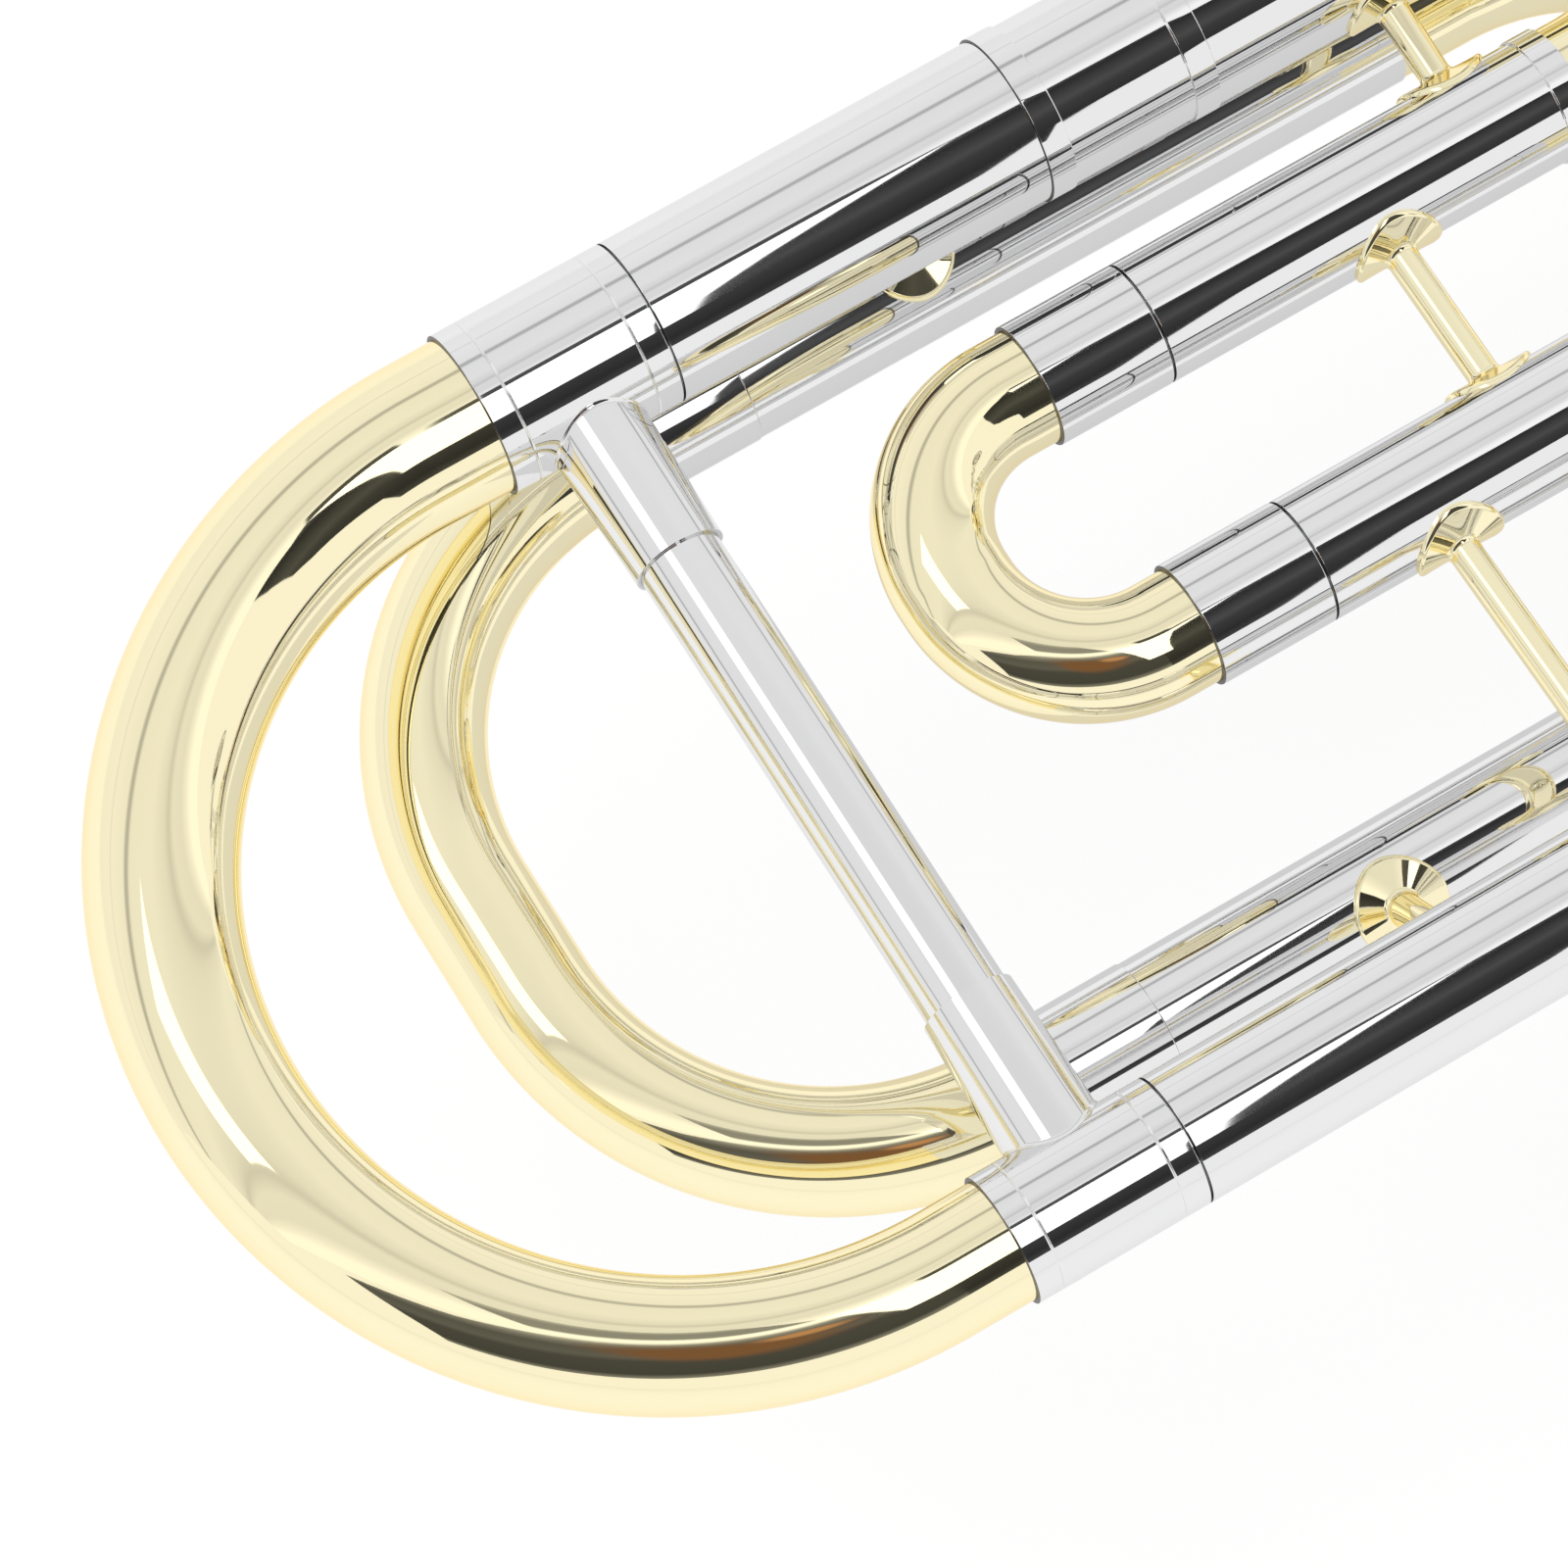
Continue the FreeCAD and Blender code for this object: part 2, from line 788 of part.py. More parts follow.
def f_upper_front_bow():
    """Brass bow from the loop's upper tube to the F slide's upper sleeve."""
    tube_end = loop_tube_start() + loop_high_length
    bow = front_bow(f_sleeve_end, slide_high(), loop_high(), front_straight, loop_bow_radius,
                    loop_bow_radius - loop_wall)
    leg = tube(V(tube_end, loop_high_y, -loop_depth), X, f_sleeve_end - tube_end,
               loop_bow_radius, loop_bow_radius - loop_wall)
    return joined([bow, leg])


def f_s_bend():
    """Two opposite turns from the F slide's lower sleeve into the valve."""
    side = V(f_shift)
    side.normalize()
    axis = X.cross(side)
    angle = math.degrees(s_turn)
    steps = [(s_bend_straight,), (s_bend_radius, axis, angle), (s_bend_radius, -axis, angle),
             (s_bend_straight,)]
    return pipe(V(f_sleeve_end, f_slide_low_y, -f_slide_depth), X, steps, loop_bow_radius,
                bore_radius)[0]


# F tuning slide

def f_slide_sleeves():
    start = sleeve_x + f_setback
    plain = f_sleeve_length - f_band_width
    bore = f_sleeve_radius - sleeve_wall
    raised = f_sleeve_radius + f_band_height
    outline = [(0, bore), (0, f_sleeve_radius), (plain, f_sleeve_radius), (plain, raised),
               (f_sleeve_length, raised), (f_sleeve_length, bore)]
    return Part.makeCompound([turned(outline, V(start, end.y, end.z))
                              for end in (slide_low(), slide_high())])


def f_tuning_bow():
    corner = (f_slide_high_y - f_slide_low_y) / 2 * f_corner_share
    end = sleeve_x + f_setback - f_ferrule_length / 2
    return return_bow(end, slide_low(), slide_high(), corner,
                      f_bow_straight + f_ferrule_length / 2, f_inner_leg,
                      f_inner_leg - leg_wall)


def f_bow_ferrules():
    start = sleeve_x + f_setback - f_ferrule_length
    return Part.makeCompound([tube(V(start, end.y, end.z), X, f_ferrule_length - gap,
                                   f_sleeve_radius, f_inner_leg)
                              for end in (slide_low(), slide_high())])


def f_slide_legs():
    start = sleeve_x + f_setback - f_ferrule_length / 2
    return Part.makeCompound([tube(V(start, end.y, end.z), X,
                                   f_leg_depth + f_ferrule_length / 2, f_inner_leg,
                                   f_inner_leg - leg_wall)
                              for end in (slide_low(), slide_high())])


# Braces

def brace_f_slide_legs():
    return rod_brace(slide_low(), f_sleeve_radius, slide_high(), f_sleeve_radius,
                     sleeve_x + brace_between_legs_x)


def brace_f_slide_to_neck():
    return rod_brace(V(0, 0, 0), neck_leg_radius, slide_low(), f_sleeve_radius,
                     sleeve_x + brace_to_neck_x)


def brace_bell_to_f_slide():
    return rod_brace(slide_high(), f_sleeve_radius, bell_axis, bell_leg_radius,
                     sleeve_x + brace_to_bell_x)


def brace_f_loop_to_bell():
    return rod_brace(loop_high(), loop_tube_radius, bell_axis, bell_leg_radius,
                     sleeve_x + loop_to_bell_x)


def brace_f_loop_to_neck():
    return rod_brace(loop_low(), loop_tube_radius, V(0, 0, 0), neck_leg_radius,
                     sleeve_x + loop_to_neck_x)


def bell_outside_radius(x):
    length = bell_reach - tail_x - tail_length
    return bell_flare(bell_reach - x, length)[0]


def bell_brace():
    """Cross tube from the receiver to the bell, with a wider socket at each end."""
    near = receiver_radius
    bar = rod(V(brace_x, 0, 0), Y, leg_spacing, bell_brace_radius)
    wide = bell_outside_radius(brace_x)
    sockets = [rod(V(brace_x, 0, 0), Y, near + bell_brace_socket_length, bell_brace_socket),
               rod(V(brace_x, leg_spacing, 0), -Y, wide + bell_brace_socket_length,
                   bell_brace_socket)]
    body = joined([bar] + sockets)
    return body.cut([rod(V(brace_x - overrun, 0, 0), X, 2 * overrun, near), bell_filled()])


# Linkage

def stop_arm():
    """Arm on the rotor's spindle: a link end on one side and a stop tooth on the other."""
    centre = V(rotor_x, line_offset, arm_bottom)
    hub = rod(centre, Z, arm_level + arm_thickness - arm_bottom, arm_hub_radius)
    lift = V(0, 0, arm_level - arm_bottom)
    bar = Part.makeBox(arm_radius, 2 * arm_half_width, arm_thickness,
                       centre + lift - V(0, arm_half_width, 0))
    eye = rod(centre + lift + V(arm_radius, 0, 0), Z, arm_thickness, arm_eye_radius)
    tooth = Part.makeBox(tooth_reach, 2 * tooth_half_width, tooth_height,
                         centre - V(tooth_reach, tooth_half_width, 0))
    arm = joined([hub, bar, eye, tooth])
    arm = arm.cut(rod(centre, Z, overrun, arm_seat_radius))
    arm.rotate(centre, Z, half_turn - port_angle)
    return arm


def stop_angle():
    """Angle of each stop from +X, past the tooth's furthest swing."""
    reach = stop_radius + tooth_half_width + gap
    return port_angle + math.degrees(math.asin(reach / stop_circle))


def stop_places():
    for side in (1, -1):
        turn = math.radians(side * stop_angle())
        yield rotor_centre + V(stop_circle * math.cos(turn), stop_circle * math.sin(turn),
                               casing_top_z)


def stop_plate():
    """Curved plate on the casing's front that carries the two stops."""
    turn = math.radians(-stop_plate_half_angle)
    return arc_block(V(rotor_x, line_offset, casing_top_z), Z,
                     V(math.cos(turn), math.sin(turn), 0), stop_plate_inner,
                     stop_plate_reach, stop_plate_thickness, 2 * stop_plate_half_angle)


def stop_bumpers():
    lift = V(0, 0, stop_plate_thickness)
    return Part.makeCompound([rod(place + lift, Z, stop_height - stop_plate_thickness,
                                  stop_radius) for place in stop_places()])


def link_end():
    """Centre of the lever's link joint at rest."""
    half = lever_swing / 2
    return lever_centre + V(-lever_arm * math.cos(half), lever_arm * math.sin(half), 0)


def arm_end():
    turn = math.radians(half_turn - port_angle)
    return rotor_centre + V(arm_radius * math.cos(turn), arm_radius * math.sin(turn), 0)


def link_rod():
    """Straight rod with a flat eye at each end, lying over the lever and the stop arm."""
    level = V(0, 0, lever_level + lever_thickness + gap)
    ends = [link_end() + level, arm_end() + level]
    run = ends[1] - ends[0]
    length = run.Length
    run.normalize()
    middle = V(0, 0, link_thickness / 2)
    bar = rod(ends[0] + middle, run, length, link_rod_radius)
    eyes = [rod(end, Z, link_thickness, link_eye_radius) for end in ends]
    body = joined(eyes + [bar])
    floor = Part.makeBox(2 * length, 2 * length, overrun, ends[0] - V(length, length, overrun))
    return body.cut(floor)


def bar_between(first, second, half_width, thickness):
    """A flat bar with parallel sides between two points on one level."""
    run = second - first
    length = run.Length
    run.normalize()
    side = Z.cross(run) * half_width
    corners = [first + side, first - side, second - side, second + side, first + side]
    return Part.Face(Part.makePolygon(corners)).extrude(V(0, 0, thickness))


def thumb_lever():
    """Lever on an upright hinge: one arm works the link, the other carries the paddle."""
    level = V(0, 0, lever_level)
    hub = rod(lever_centre + V(0, 0, lever_hub_bottom), Z, lever_hub_top - lever_hub_bottom,
              lever_hub_radius)
    arm = bar_between(lever_centre + level, link_end() + level, lever_half_width,
                      lever_thickness)
    eye = rod(link_end() + level, Z, lever_thickness, link_eye_radius)
    foot = lever_centre + V(-paddle_offset, -paddle_drop, lever_level)
    reach = bar_between(lever_centre + level, foot, lever_half_width, lever_thickness)
    circle = rod(V(0, 0, 0), X, paddle_thickness, paddle_width / 2)
    stretch = FreeCAD.Matrix()
    stretch.scale(1, paddle_length / paddle_width, 1)
    pad = circle.transformGeometry(stretch)
    pad.translate(foot + V(-paddle_thickness / 2, 0, paddle_rise))
    body = joined([hub, arm, eye, reach, pad])
    return body.cut(rod(lever_centre, Z, lever_hub_top + overrun, lever_rod_radius + running))


def lever_bracket():
    """Saddle on the bell brace with a post and a shelf that holds the hinge rod."""
    saddle_outer = bell_brace_radius + bracket_saddle_wall
    shelf_low = shelf_top - bracket_thickness
    saddle = tube(V(brace_x, lever_y - bracket_saddle_length / 2, 0), Y, bracket_saddle_length,
                  saddle_outer, bell_brace_radius)
    post = Part.makeBox(bracket_post, 2 * bracket_half_width, shelf_top,
                        V(brace_x - bracket_post / 2, lever_y - bracket_half_width, 0))
    post = post.cut(rod(V(brace_x, 0, 0), Y, leg_spacing, bell_brace_radius))
    shelf = Part.makeBox(brace_x + bracket_post / 2 + lever_x, 2 * bracket_half_width,
                         bracket_thickness,
                         V(-lever_x, lever_y - bracket_half_width, shelf_low))
    nose = rod(lever_centre + V(0, 0, shelf_low), Z, bracket_thickness, bracket_half_width)
    body = joined([saddle, post, shelf, nose])
    return body.cut(rod(lever_centre, Z, shelf_top + overrun, lever_rod_radius))


def lever_hinge_rod():
    low = shelf_top - bracket_thickness - rod_foot
    head = rod(lever_centre + V(0, 0, lever_hub_top + gap), Z, rod_foot, lever_hub_radius)
    pin = rod(lever_centre + V(0, 0, low), Z, lever_hub_top + gap + rod_foot - low,
              lever_rod_radius)
    return joined([pin, head])


def lever_spring():
    """Coil round the lever's hub, between the shelf and the lever's arms."""
    mean = lever_hub_radius + spring_clearance + spring_wire
    room = lever_level - shelf_top - 2 * (gap + spring_wire)
    rise = spring_tail / (math.pi * mean)
    pitch = room / (spring_turns + rise)
    low = shelf_top + gap + spring_wire + pitch * rise / 2
    return coil(lever_centre + V(0, 0, low), FreeCAD.Rotation(), mean, pitch, spring_turns,
                spring_wire, spring_tail)


# Hand slide, the half that stays with the player

def slide_tenon():
    """Tapered plug with a collar, and a skirt that holds the lower inner tube."""
    front = tenon_collar_length + tenon_skirt_length
    outline = [(-tenon_length, inner_bore), (-tenon_length, tenon_tip_radius),
               (0, tenon_mouth_radius), (0, tenon_collar_radius),
               (tenon_collar_length, tenon_collar_radius),
               (tenon_collar_length, tenon_skirt_radius), (front, tenon_skirt_radius),
               (front, inner_radius), (tenon_collar_length, inner_radius),
               (tenon_collar_length, inner_bore)]
    return turned(outline, V(0, 0, 0))


def slide_lock_nut():
    """Fluted ring nut that draws the tenon's collar onto the receiver."""
    lip = tenon_collar_length + nut_lip_clearance
    front = lip + nut_lip_length
    outline = [(-nut_back, thread_radius + running), (-nut_back, nut_radius),
               (front - nut_flute_radius, nut_radius), (front, nut_radius - nut_flute_radius),
               (front, tenon_skirt_radius + running), (lip, tenon_skirt_radius + running),
               (lip, thread_radius + running)]
    body = turned(outline, V(0, 0, 0))
    flutes = []
    for n in range(nut_flutes):
        turn = round_turn / nut_flutes * n
        groove = rod(V(-nut_back, 0, nut_radius + nut_flute_radius / 2), X, nut_back + front,
                     nut_flute_radius)
        groove.rotate(V(0, 0, 0), X, turn)
        flutes.append(groove)
    return body.cut(flutes)


def inner_tube(base, start):
    """Thin slide tube whose last stretch is the wider stocking."""
    outline = [(start, inner_bore), (start, inner_radius),
               (inner_reach - stocking_length, inner_radius),
               (inner_reach - stocking_length, stocking_radius),
               (inner_reach, stocking_radius), (inner_reach, inner_bore)]
    return turned(outline, base)


def inner_slide_tubes():
    return Part.makeCompound([inner_tube(V(0, 0, 0), tenon_collar_length),
                              inner_tube(upper_slide, shank_depth - mouth_socket_back + gap)])


def grip(x, length, radius, bore, tube_x):
    """Two sleeves on the slide tubes, joined by a cross tube with flared sockets."""
    sleeves = [rod(V(x, 0, z), X, length, radius) for z in (0, slide_spacing)]
    bar = rod(V(tube_x, 0, 0), Z, slide_spacing, grip_tube_radius)
    sockets = [cone(V(tube_x, 0, z), direction, radius + grip_socket_length,
                    grip_socket_radius, grip_tube_radius)
               for z, direction in ((0, Z), (slide_spacing, -Z))]
    bores = [rod(V(x, 0, z), X, length, bore) for z in (0, slide_spacing)]
    hollow = rod(V(tube_x, 0, 0), Z, slide_spacing, grip_tube_radius - grip_tube_wall)
    return joined(sleeves + [bar] + sockets).cut(bores + [hollow])


def inner_slide_brace():
    return grip(grip_x, grip_length, grip_radius, inner_radius, grip_x + grip_length / 2)


def cork_barrels():
    """Cups at the back of the slide that the outer tubes close into."""
    bore = barrel_radius - barrel_wall
    raised = barrel_radius + barrel_bead
    outline = [(0, inner_radius), (0, raised), (barrel_bead_width, raised),
               (barrel_bead_width, barrel_radius), (barrel_length, barrel_radius),
               (barrel_length, bore), (barrel_floor, bore), (barrel_floor, inner_radius)]
    return Part.makeCompound([turned(outline, V(barrel_x, 0, z)) for z in (0, slide_spacing)])


def lead_pipe():
    start = shank_depth - mouth_socket_back + gap
    outer = inner_bore - running
    return tube(V(start, 0, slide_spacing), X, lead_pipe_length, outer,
                outer - lead_pipe_wall)


def mouthpiece_socket():
    """Tapered socket for the mouthpiece shank, banded at its mouth."""
    raised = mouth_socket_radius + mouth_socket_band
    seat = shank_depth + gap
    outline = [(0, shank_mouth_radius + running), (0, raised),
               (mouth_socket_band_width, raised), (mouth_socket_band_width, mouth_socket_radius),
               (mouth_socket_length, mouth_socket_radius), (mouth_socket_length, inner_radius),
               (seat, inner_radius), (seat, shank_tip_radius + running)]
    return turned(outline, V(-mouth_socket_back, 0, slide_spacing))


def about_slide(angle):
    """Direction across the lower slide tube, measured from -Y towards -Z."""
    return V(0, -math.cos(math.radians(angle)), -math.sin(math.radians(angle)))


def slide_lock_ring():
    """Ring round the lower cork barrel with a hook that turns in front of a lug."""
    bore = barrel_radius + running
    outer = bore + lock_wall
    start = barrel_x + barrel_length - lock_width
    hook_x = outer_grip_x + lug_width + gap
    ring = tube(V(start, 0, 0), X, lock_width, outer, bore)
    arm = arc_block(V(start, 0, 0), X, about_slide(0), bore, outer,
                    hook_x + lock_hook_width - start, lock_arm_angle)
    hook = arc_block(V(hook_x, 0, 0), X, about_slide(0), bore, outer, lock_hook_width,
                     lock_hook_angle)
    return joined([ring, arm, hook])


# Hand slide, the half that moves

def outer_slide_tubes():
    return Part.makeCompound([tube(V(outer_back, 0, z), X, outer_front - outer_back,
                                   outer_radius, outer_bore) for z in (0, slide_spacing)])


def outer_slide_brace():
    body = grip(outer_grip_x, outer_grip_length, outer_grip_radius, outer_radius,
                outer_grip_x + outer_grip_tube_setback)
    lug = arc_block(V(outer_grip_x, 0, 0), X, about_slide(lock_seat_angle), outer_radius,
                    outer_grip_radius + lug_height, lug_width, lug_angle)
    return joined([body, lug])


def crook_steps():
    return [(crook_straight,), (slide_spacing / 2, -Y, half_turn), (crook_straight,)]


def slide_crook():
    bow = pipe(V(outer_front, 0, 0), X, crook_steps(), outer_radius, outer_bore)[0]
    drain = rod(V(outer_front + nipple_x, 0, 0), -Z, outer_radius + gap, nipple_bore)
    return bow.cut(drain)


def crook_ferrules():
    start = outer_front - crook_ferrule_lap
    return Part.makeCompound([tube(V(start, 0, z), X, crook_ferrule_length,
                                   crook_ferrule_radius, outer_radius)
                              for z in (0, slide_spacing)])


def crook_front():
    return outer_front + crook_straight + slide_spacing / 2 + outer_radius


def bumper_socket():
    """Short seat on the front of the crook for the rubber bumper."""
    length = outer_radius + bumper_socket_length
    body = rod(V(crook_front() - outer_radius, 0, slide_spacing / 2), X, length,
               bumper_socket_radius)
    centre = V(outer_front + crook_straight, 0, slide_spacing / 2)
    return body.cut(Part.makeTorus(slide_spacing / 2, outer_radius, centre, Y))


def rubber_bumper():
    """Rubber cup that sits over its seat and carries the slide on the floor."""
    start = crook_front() + bumper_socket_length - bumper_lap
    outline = [(0, bumper_socket_radius), (0, bumper_radius), (bumper_lap, bumper_radius),
               (bumper_lap + bumper_length, bumper_front_radius),
               (bumper_lap + bumper_length, 0), (bumper_lap, 0),
               (bumper_lap, bumper_socket_radius)]
    return turned(outline, V(start, 0, slide_spacing / 2))


# Water key

def key_pivot():
    return V(outer_front + key_pivot_x, 0, -key_pivot_drop)


def water_key_seat():
    """Saddle with the drain's nipple and two posts that hold the key's pin."""
    drain_x = outer_front + nipple_x
    pivot = key_pivot()
    start = pivot.x - key_post_radius
    shapes = [arc_block(V(start, 0, 0), X, about_slide(quarter_turn - key_saddle_half_angle),
                        outer_radius - key_saddle_thickness,
                        outer_radius + key_saddle_thickness,
                        drain_x + nipple_radius - start, 2 * key_saddle_half_angle),
              rod(V(drain_x, 0, 0), -Z, outer_radius + nipple_height, nipple_radius)]
    for y in (key_post_half_gap, -key_post_half_gap - key_post_thickness):
        shapes.append(rod(V(pivot.x, y, pivot.z), Y, key_post_thickness, key_post_radius))
        shapes.append(Part.makeBox(2 * key_post_radius, key_post_thickness,
                                   key_pivot_drop - outer_radius / 2,
                                   V(start, y, pivot.z)))
    half_pin = key_post_half_gap + key_post_thickness + key_pin_end
    shapes.append(rod(V(pivot.x, -half_pin, pivot.z), Y, 2 * half_pin, key_pin_radius))
    space = rod(V(outer_front, 0, 0), X, 2 * crook_straight, outer_radius)
    return joined(shapes).cut([space, rod(V(drain_x, 0, 0), -Z, overrun, nipple_bore)])


def key_cork_top():
    return -outer_radius - nipple_height - key_seat_gap


def water_key_lever():
    """Rocking lever with a finger plate behind the pin and a cork cup ahead of it."""
    pivot = key_pivot()
    side = key_arm_half_width
    hub = rod(V(pivot.x, gap - key_post_half_gap, pivot.z), Y,
              key_post_half_gap - gap + side, key_hub_radius)
    cup_x = outer_front + nipple_x
    cup_top = key_cork_top() - key_cork_thickness
    cup_low = cup_top - key_cup_depth
    finger_x = pivot.x - key_arm_length
    finger_top = pivot.z - key_arm_fall
    outline = [(cup_x, cup_low), (cup_x, cup_low + key_arm_thickness),
               (pivot.x + key_hub_radius, cup_low + key_arm_thickness), (pivot.x, pivot.z),
               (finger_x, finger_top), (finger_x, finger_top - key_arm_thickness),
               (pivot.x - key_hub_radius, cup_low)]
    corners = [V(a, -side, c) for a, c in outline]
    arm = Part.Face(Part.makePolygon(corners + corners[:1])).extrude(Y * (2 * side))
    cup = rod(V(cup_x, 0, cup_low), Z, key_cup_depth, key_cup_radius)
    finger = rod(V(finger_x, 0, finger_top - key_arm_thickness), Z, key_arm_thickness,
                 key_finger_radius)
    body = joined([hub, arm, cup, finger])
    hole = rod(V(pivot.x, -overrun, pivot.z), Y, 2 * overrun, key_pin_radius + running)
    return body.cut(hole)


def water_key_spring():
    """Coil round the key's pin, beside the lever, with its tails on the tube and the arm."""
    pivot = key_pivot()
    mean = key_pin_radius + key_spring_clearance + key_spring_wire
    low = key_arm_half_width + gap + key_spring_wire
    high = key_post_half_gap - gap - key_spring_wire
    rise = key_spring_tail / (math.pi * mean)
    pitch = (high - low) / (key_spring_turns + rise)
    turn = FreeCAD.Rotation(X, -quarter_turn)
    return coil(V(pivot.x, low + pitch * rise / 2, pivot.z), turn, mean, pitch,
                key_spring_turns, key_spring_wire, key_spring_tail)


def water_key_cork():
    top = key_cork_top()
    return rod(V(outer_front + nipple_x, 0, top - key_cork_thickness), Z, key_cork_thickness,
               key_cork_radius)


# Mouthpiece

def mouthpiece():
    """Cup, throat and tapered shank, turned as one piece."""
    rim = shank_depth - mouth_socket_back - mouthpiece_length
    base = V(rim, 0, slide_spacing)
    tip = mouthpiece_length
    mouth = mouthpiece_length - shank_depth
    bowl = mouthpiece_bowl_depth

    def at(along, radius):
        return V(base.x + along, base.y, base.z + radius)

    def smooth(points):
        curve = Part.BSplineCurve()
        curve.interpolate(points)
        return curve.toShape()

    lip_in = at(mouthpiece_rim_height, mouthpiece_cup_radius)
    crest = at(0, (mouthpiece_cup_radius + mouthpiece_rim_radius) / 2)
    lip_out = at(mouthpiece_rim_height, mouthpiece_rim_radius)
    throat = at(bowl, mouthpiece_throat)
    inside = [lip_in] + [at(mouthpiece_rim_height + (bowl - mouthpiece_rim_height) * a,
                            mouthpiece_cup_radius * r) for a, r in mouthpiece_bowl_shares]
    neck = at(mouthpiece_length * mouthpiece_neck_share, mouthpiece_neck_radius)
    body = [at(mouthpiece_length * a, mouthpiece_rim_radius * r)
            for a, r in mouthpiece_body_shares]
    throat_end = at(bowl + mouthpiece_throat_length, mouthpiece_throat)
    edges = [smooth(inside + [throat]), Part.makeLine(throat, throat_end),
             Part.makeLine(throat_end, at(tip, shank_tip_radius - mouthpiece_tip_wall)),
             Part.makeLine(at(tip, shank_tip_radius - mouthpiece_tip_wall),
                           at(tip, shank_tip_radius)),
             Part.makeLine(at(tip, shank_tip_radius), at(mouth, shank_mouth_radius)),
             Part.makeLine(at(mouth, shank_mouth_radius), neck),
             smooth([neck] + body[:0:-1]), Part.makeLine(body[1], body[0]),
             Part.makeLine(body[0], lip_out),
             Part.Arc(lip_out, crest, lip_in).toShape()]
    outline = Part.Wire(Part.__sortEdges__(edges))
    return Part.Face(outline).revolve(base, X, round_turn)


pieces = [
    bell, bell_tail_tube, banded_ferrule, bell_side_sleeve, neck_side_sleeve,
    main_tuning_bow, main_bow_ferrules, main_slide_legs, main_brace_tube, main_brace_sockets,
    rear_neck_tube, front_neck_tube, slide_receiver, rotor_casing, rotor, rotor_bearing_plate,
    rotor_cap, f_loop_bow, f_loop_ferrules, f_loop_lower_tube, f_loop_upper_tube,
    f_lower_front_bow, f_upper_front_bow, f_s_bend, f_slide_sleeves, f_tuning_bow,
    f_bow_ferrules, f_slide_legs, brace_f_slide_legs, brace_f_slide_to_neck,
    brace_bell_to_f_slide, brace_f_loop_to_bell, brace_f_loop_to_neck, bell_brace, stop_arm,
    stop_bumpers, link_rod, thumb_lever, lever_bracket, lever_hinge_rod,
    lever_spring, slide_tenon, slide_lock_nut, inner_slide_tubes, inner_slide_brace,
    cork_barrels, lead_pipe, mouthpiece_socket, slide_lock_ring, outer_slide_tubes,
    outer_slide_brace, slide_crook, crook_ferrules, bumper_socket, rubber_bumper,
    water_key_seat, water_key_lever, water_key_cork, water_key_spring, mouthpiece]


def main():
    os.makedirs("parts", exist_ok=True)
    for piece in pieces:
        shape = piece()
        shape.exportStep("parts/" + piece.__name__ + ".step")
        print(piece.__name__, len(shape.Solids), shape.isValid(), round(shape.Volume))


if __name__ == "__main__":
    main()
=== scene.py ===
"""Tenor trombone with an F attachment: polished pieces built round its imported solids.

The pieces are in metres, in the frame of the solids: +X towards the bell's mouth, +Y from the
neck line to the bell line, +Z from the lower slide tube to the upper one.
"""

import json
import math

import bmesh
import bpy
from bpy.props import (BoolProperty, FloatProperty, FloatVectorProperty, IntProperty,
                       PointerProperty)
from mathutils import Matrix, Vector


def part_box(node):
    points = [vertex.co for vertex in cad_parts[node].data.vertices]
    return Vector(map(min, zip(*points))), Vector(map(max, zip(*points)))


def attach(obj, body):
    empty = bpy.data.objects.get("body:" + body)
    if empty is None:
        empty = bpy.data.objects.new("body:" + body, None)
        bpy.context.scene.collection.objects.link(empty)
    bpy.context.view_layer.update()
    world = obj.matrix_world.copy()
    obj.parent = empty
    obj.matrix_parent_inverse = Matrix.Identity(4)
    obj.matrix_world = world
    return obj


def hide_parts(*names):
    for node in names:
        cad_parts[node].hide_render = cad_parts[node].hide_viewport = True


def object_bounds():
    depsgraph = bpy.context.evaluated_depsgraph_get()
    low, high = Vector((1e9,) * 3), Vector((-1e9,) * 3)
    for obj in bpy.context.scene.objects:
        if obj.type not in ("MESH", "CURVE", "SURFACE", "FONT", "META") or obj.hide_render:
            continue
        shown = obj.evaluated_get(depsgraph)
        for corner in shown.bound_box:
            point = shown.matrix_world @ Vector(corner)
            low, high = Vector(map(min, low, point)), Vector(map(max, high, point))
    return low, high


bl_info = {
    "name": "Tenor Trombone Finish",
    "version": (1, 0, 0),
    "blender": (4, 5, 0),
    "location": "3D View > Sidebar > Trombone",
    "description": "Builds the polished pieces and the studio of a tenor trombone",
    "category": "Object",
}

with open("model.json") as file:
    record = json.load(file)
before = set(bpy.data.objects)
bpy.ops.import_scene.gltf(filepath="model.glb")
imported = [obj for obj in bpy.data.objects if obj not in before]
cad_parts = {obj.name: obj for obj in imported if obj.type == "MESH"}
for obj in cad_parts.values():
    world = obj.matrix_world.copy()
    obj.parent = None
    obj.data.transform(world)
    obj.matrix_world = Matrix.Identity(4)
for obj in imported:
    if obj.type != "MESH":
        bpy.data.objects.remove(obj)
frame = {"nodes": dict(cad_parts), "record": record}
cad_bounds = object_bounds()

X = Vector((1, 0, 0))
Y = Vector((0, 1, 0))
Z = Vector((0, 0, 1))
MM = 0.001
WELD = 0.01 * MM
FULL_TURN = 2 * math.pi
CREASE = math.radians(35)
COPY_CREASE = math.radians(20)
BELL_CREASE = math.radians(50)
# Rings along the bell's flare, and how much they crowd towards its rim
BELL_STATIONS = 90
BELL_SPACING = 2.4
# How far from its line a turned piece's faces lie at most, for a tube and for a wider piece
TUBE_REACH = 14 * MM
WIDE_REACH = 30 * MM
# How far a brace's foot reaches into what carries it, where it fits that closely, and over
# what length of a rod or a socket it gets round again
SUNK = 0.3 * MM
SEAT = MM
ROD_LEAN = 3 * MM
SOCKET_LEAN = 5 * MM
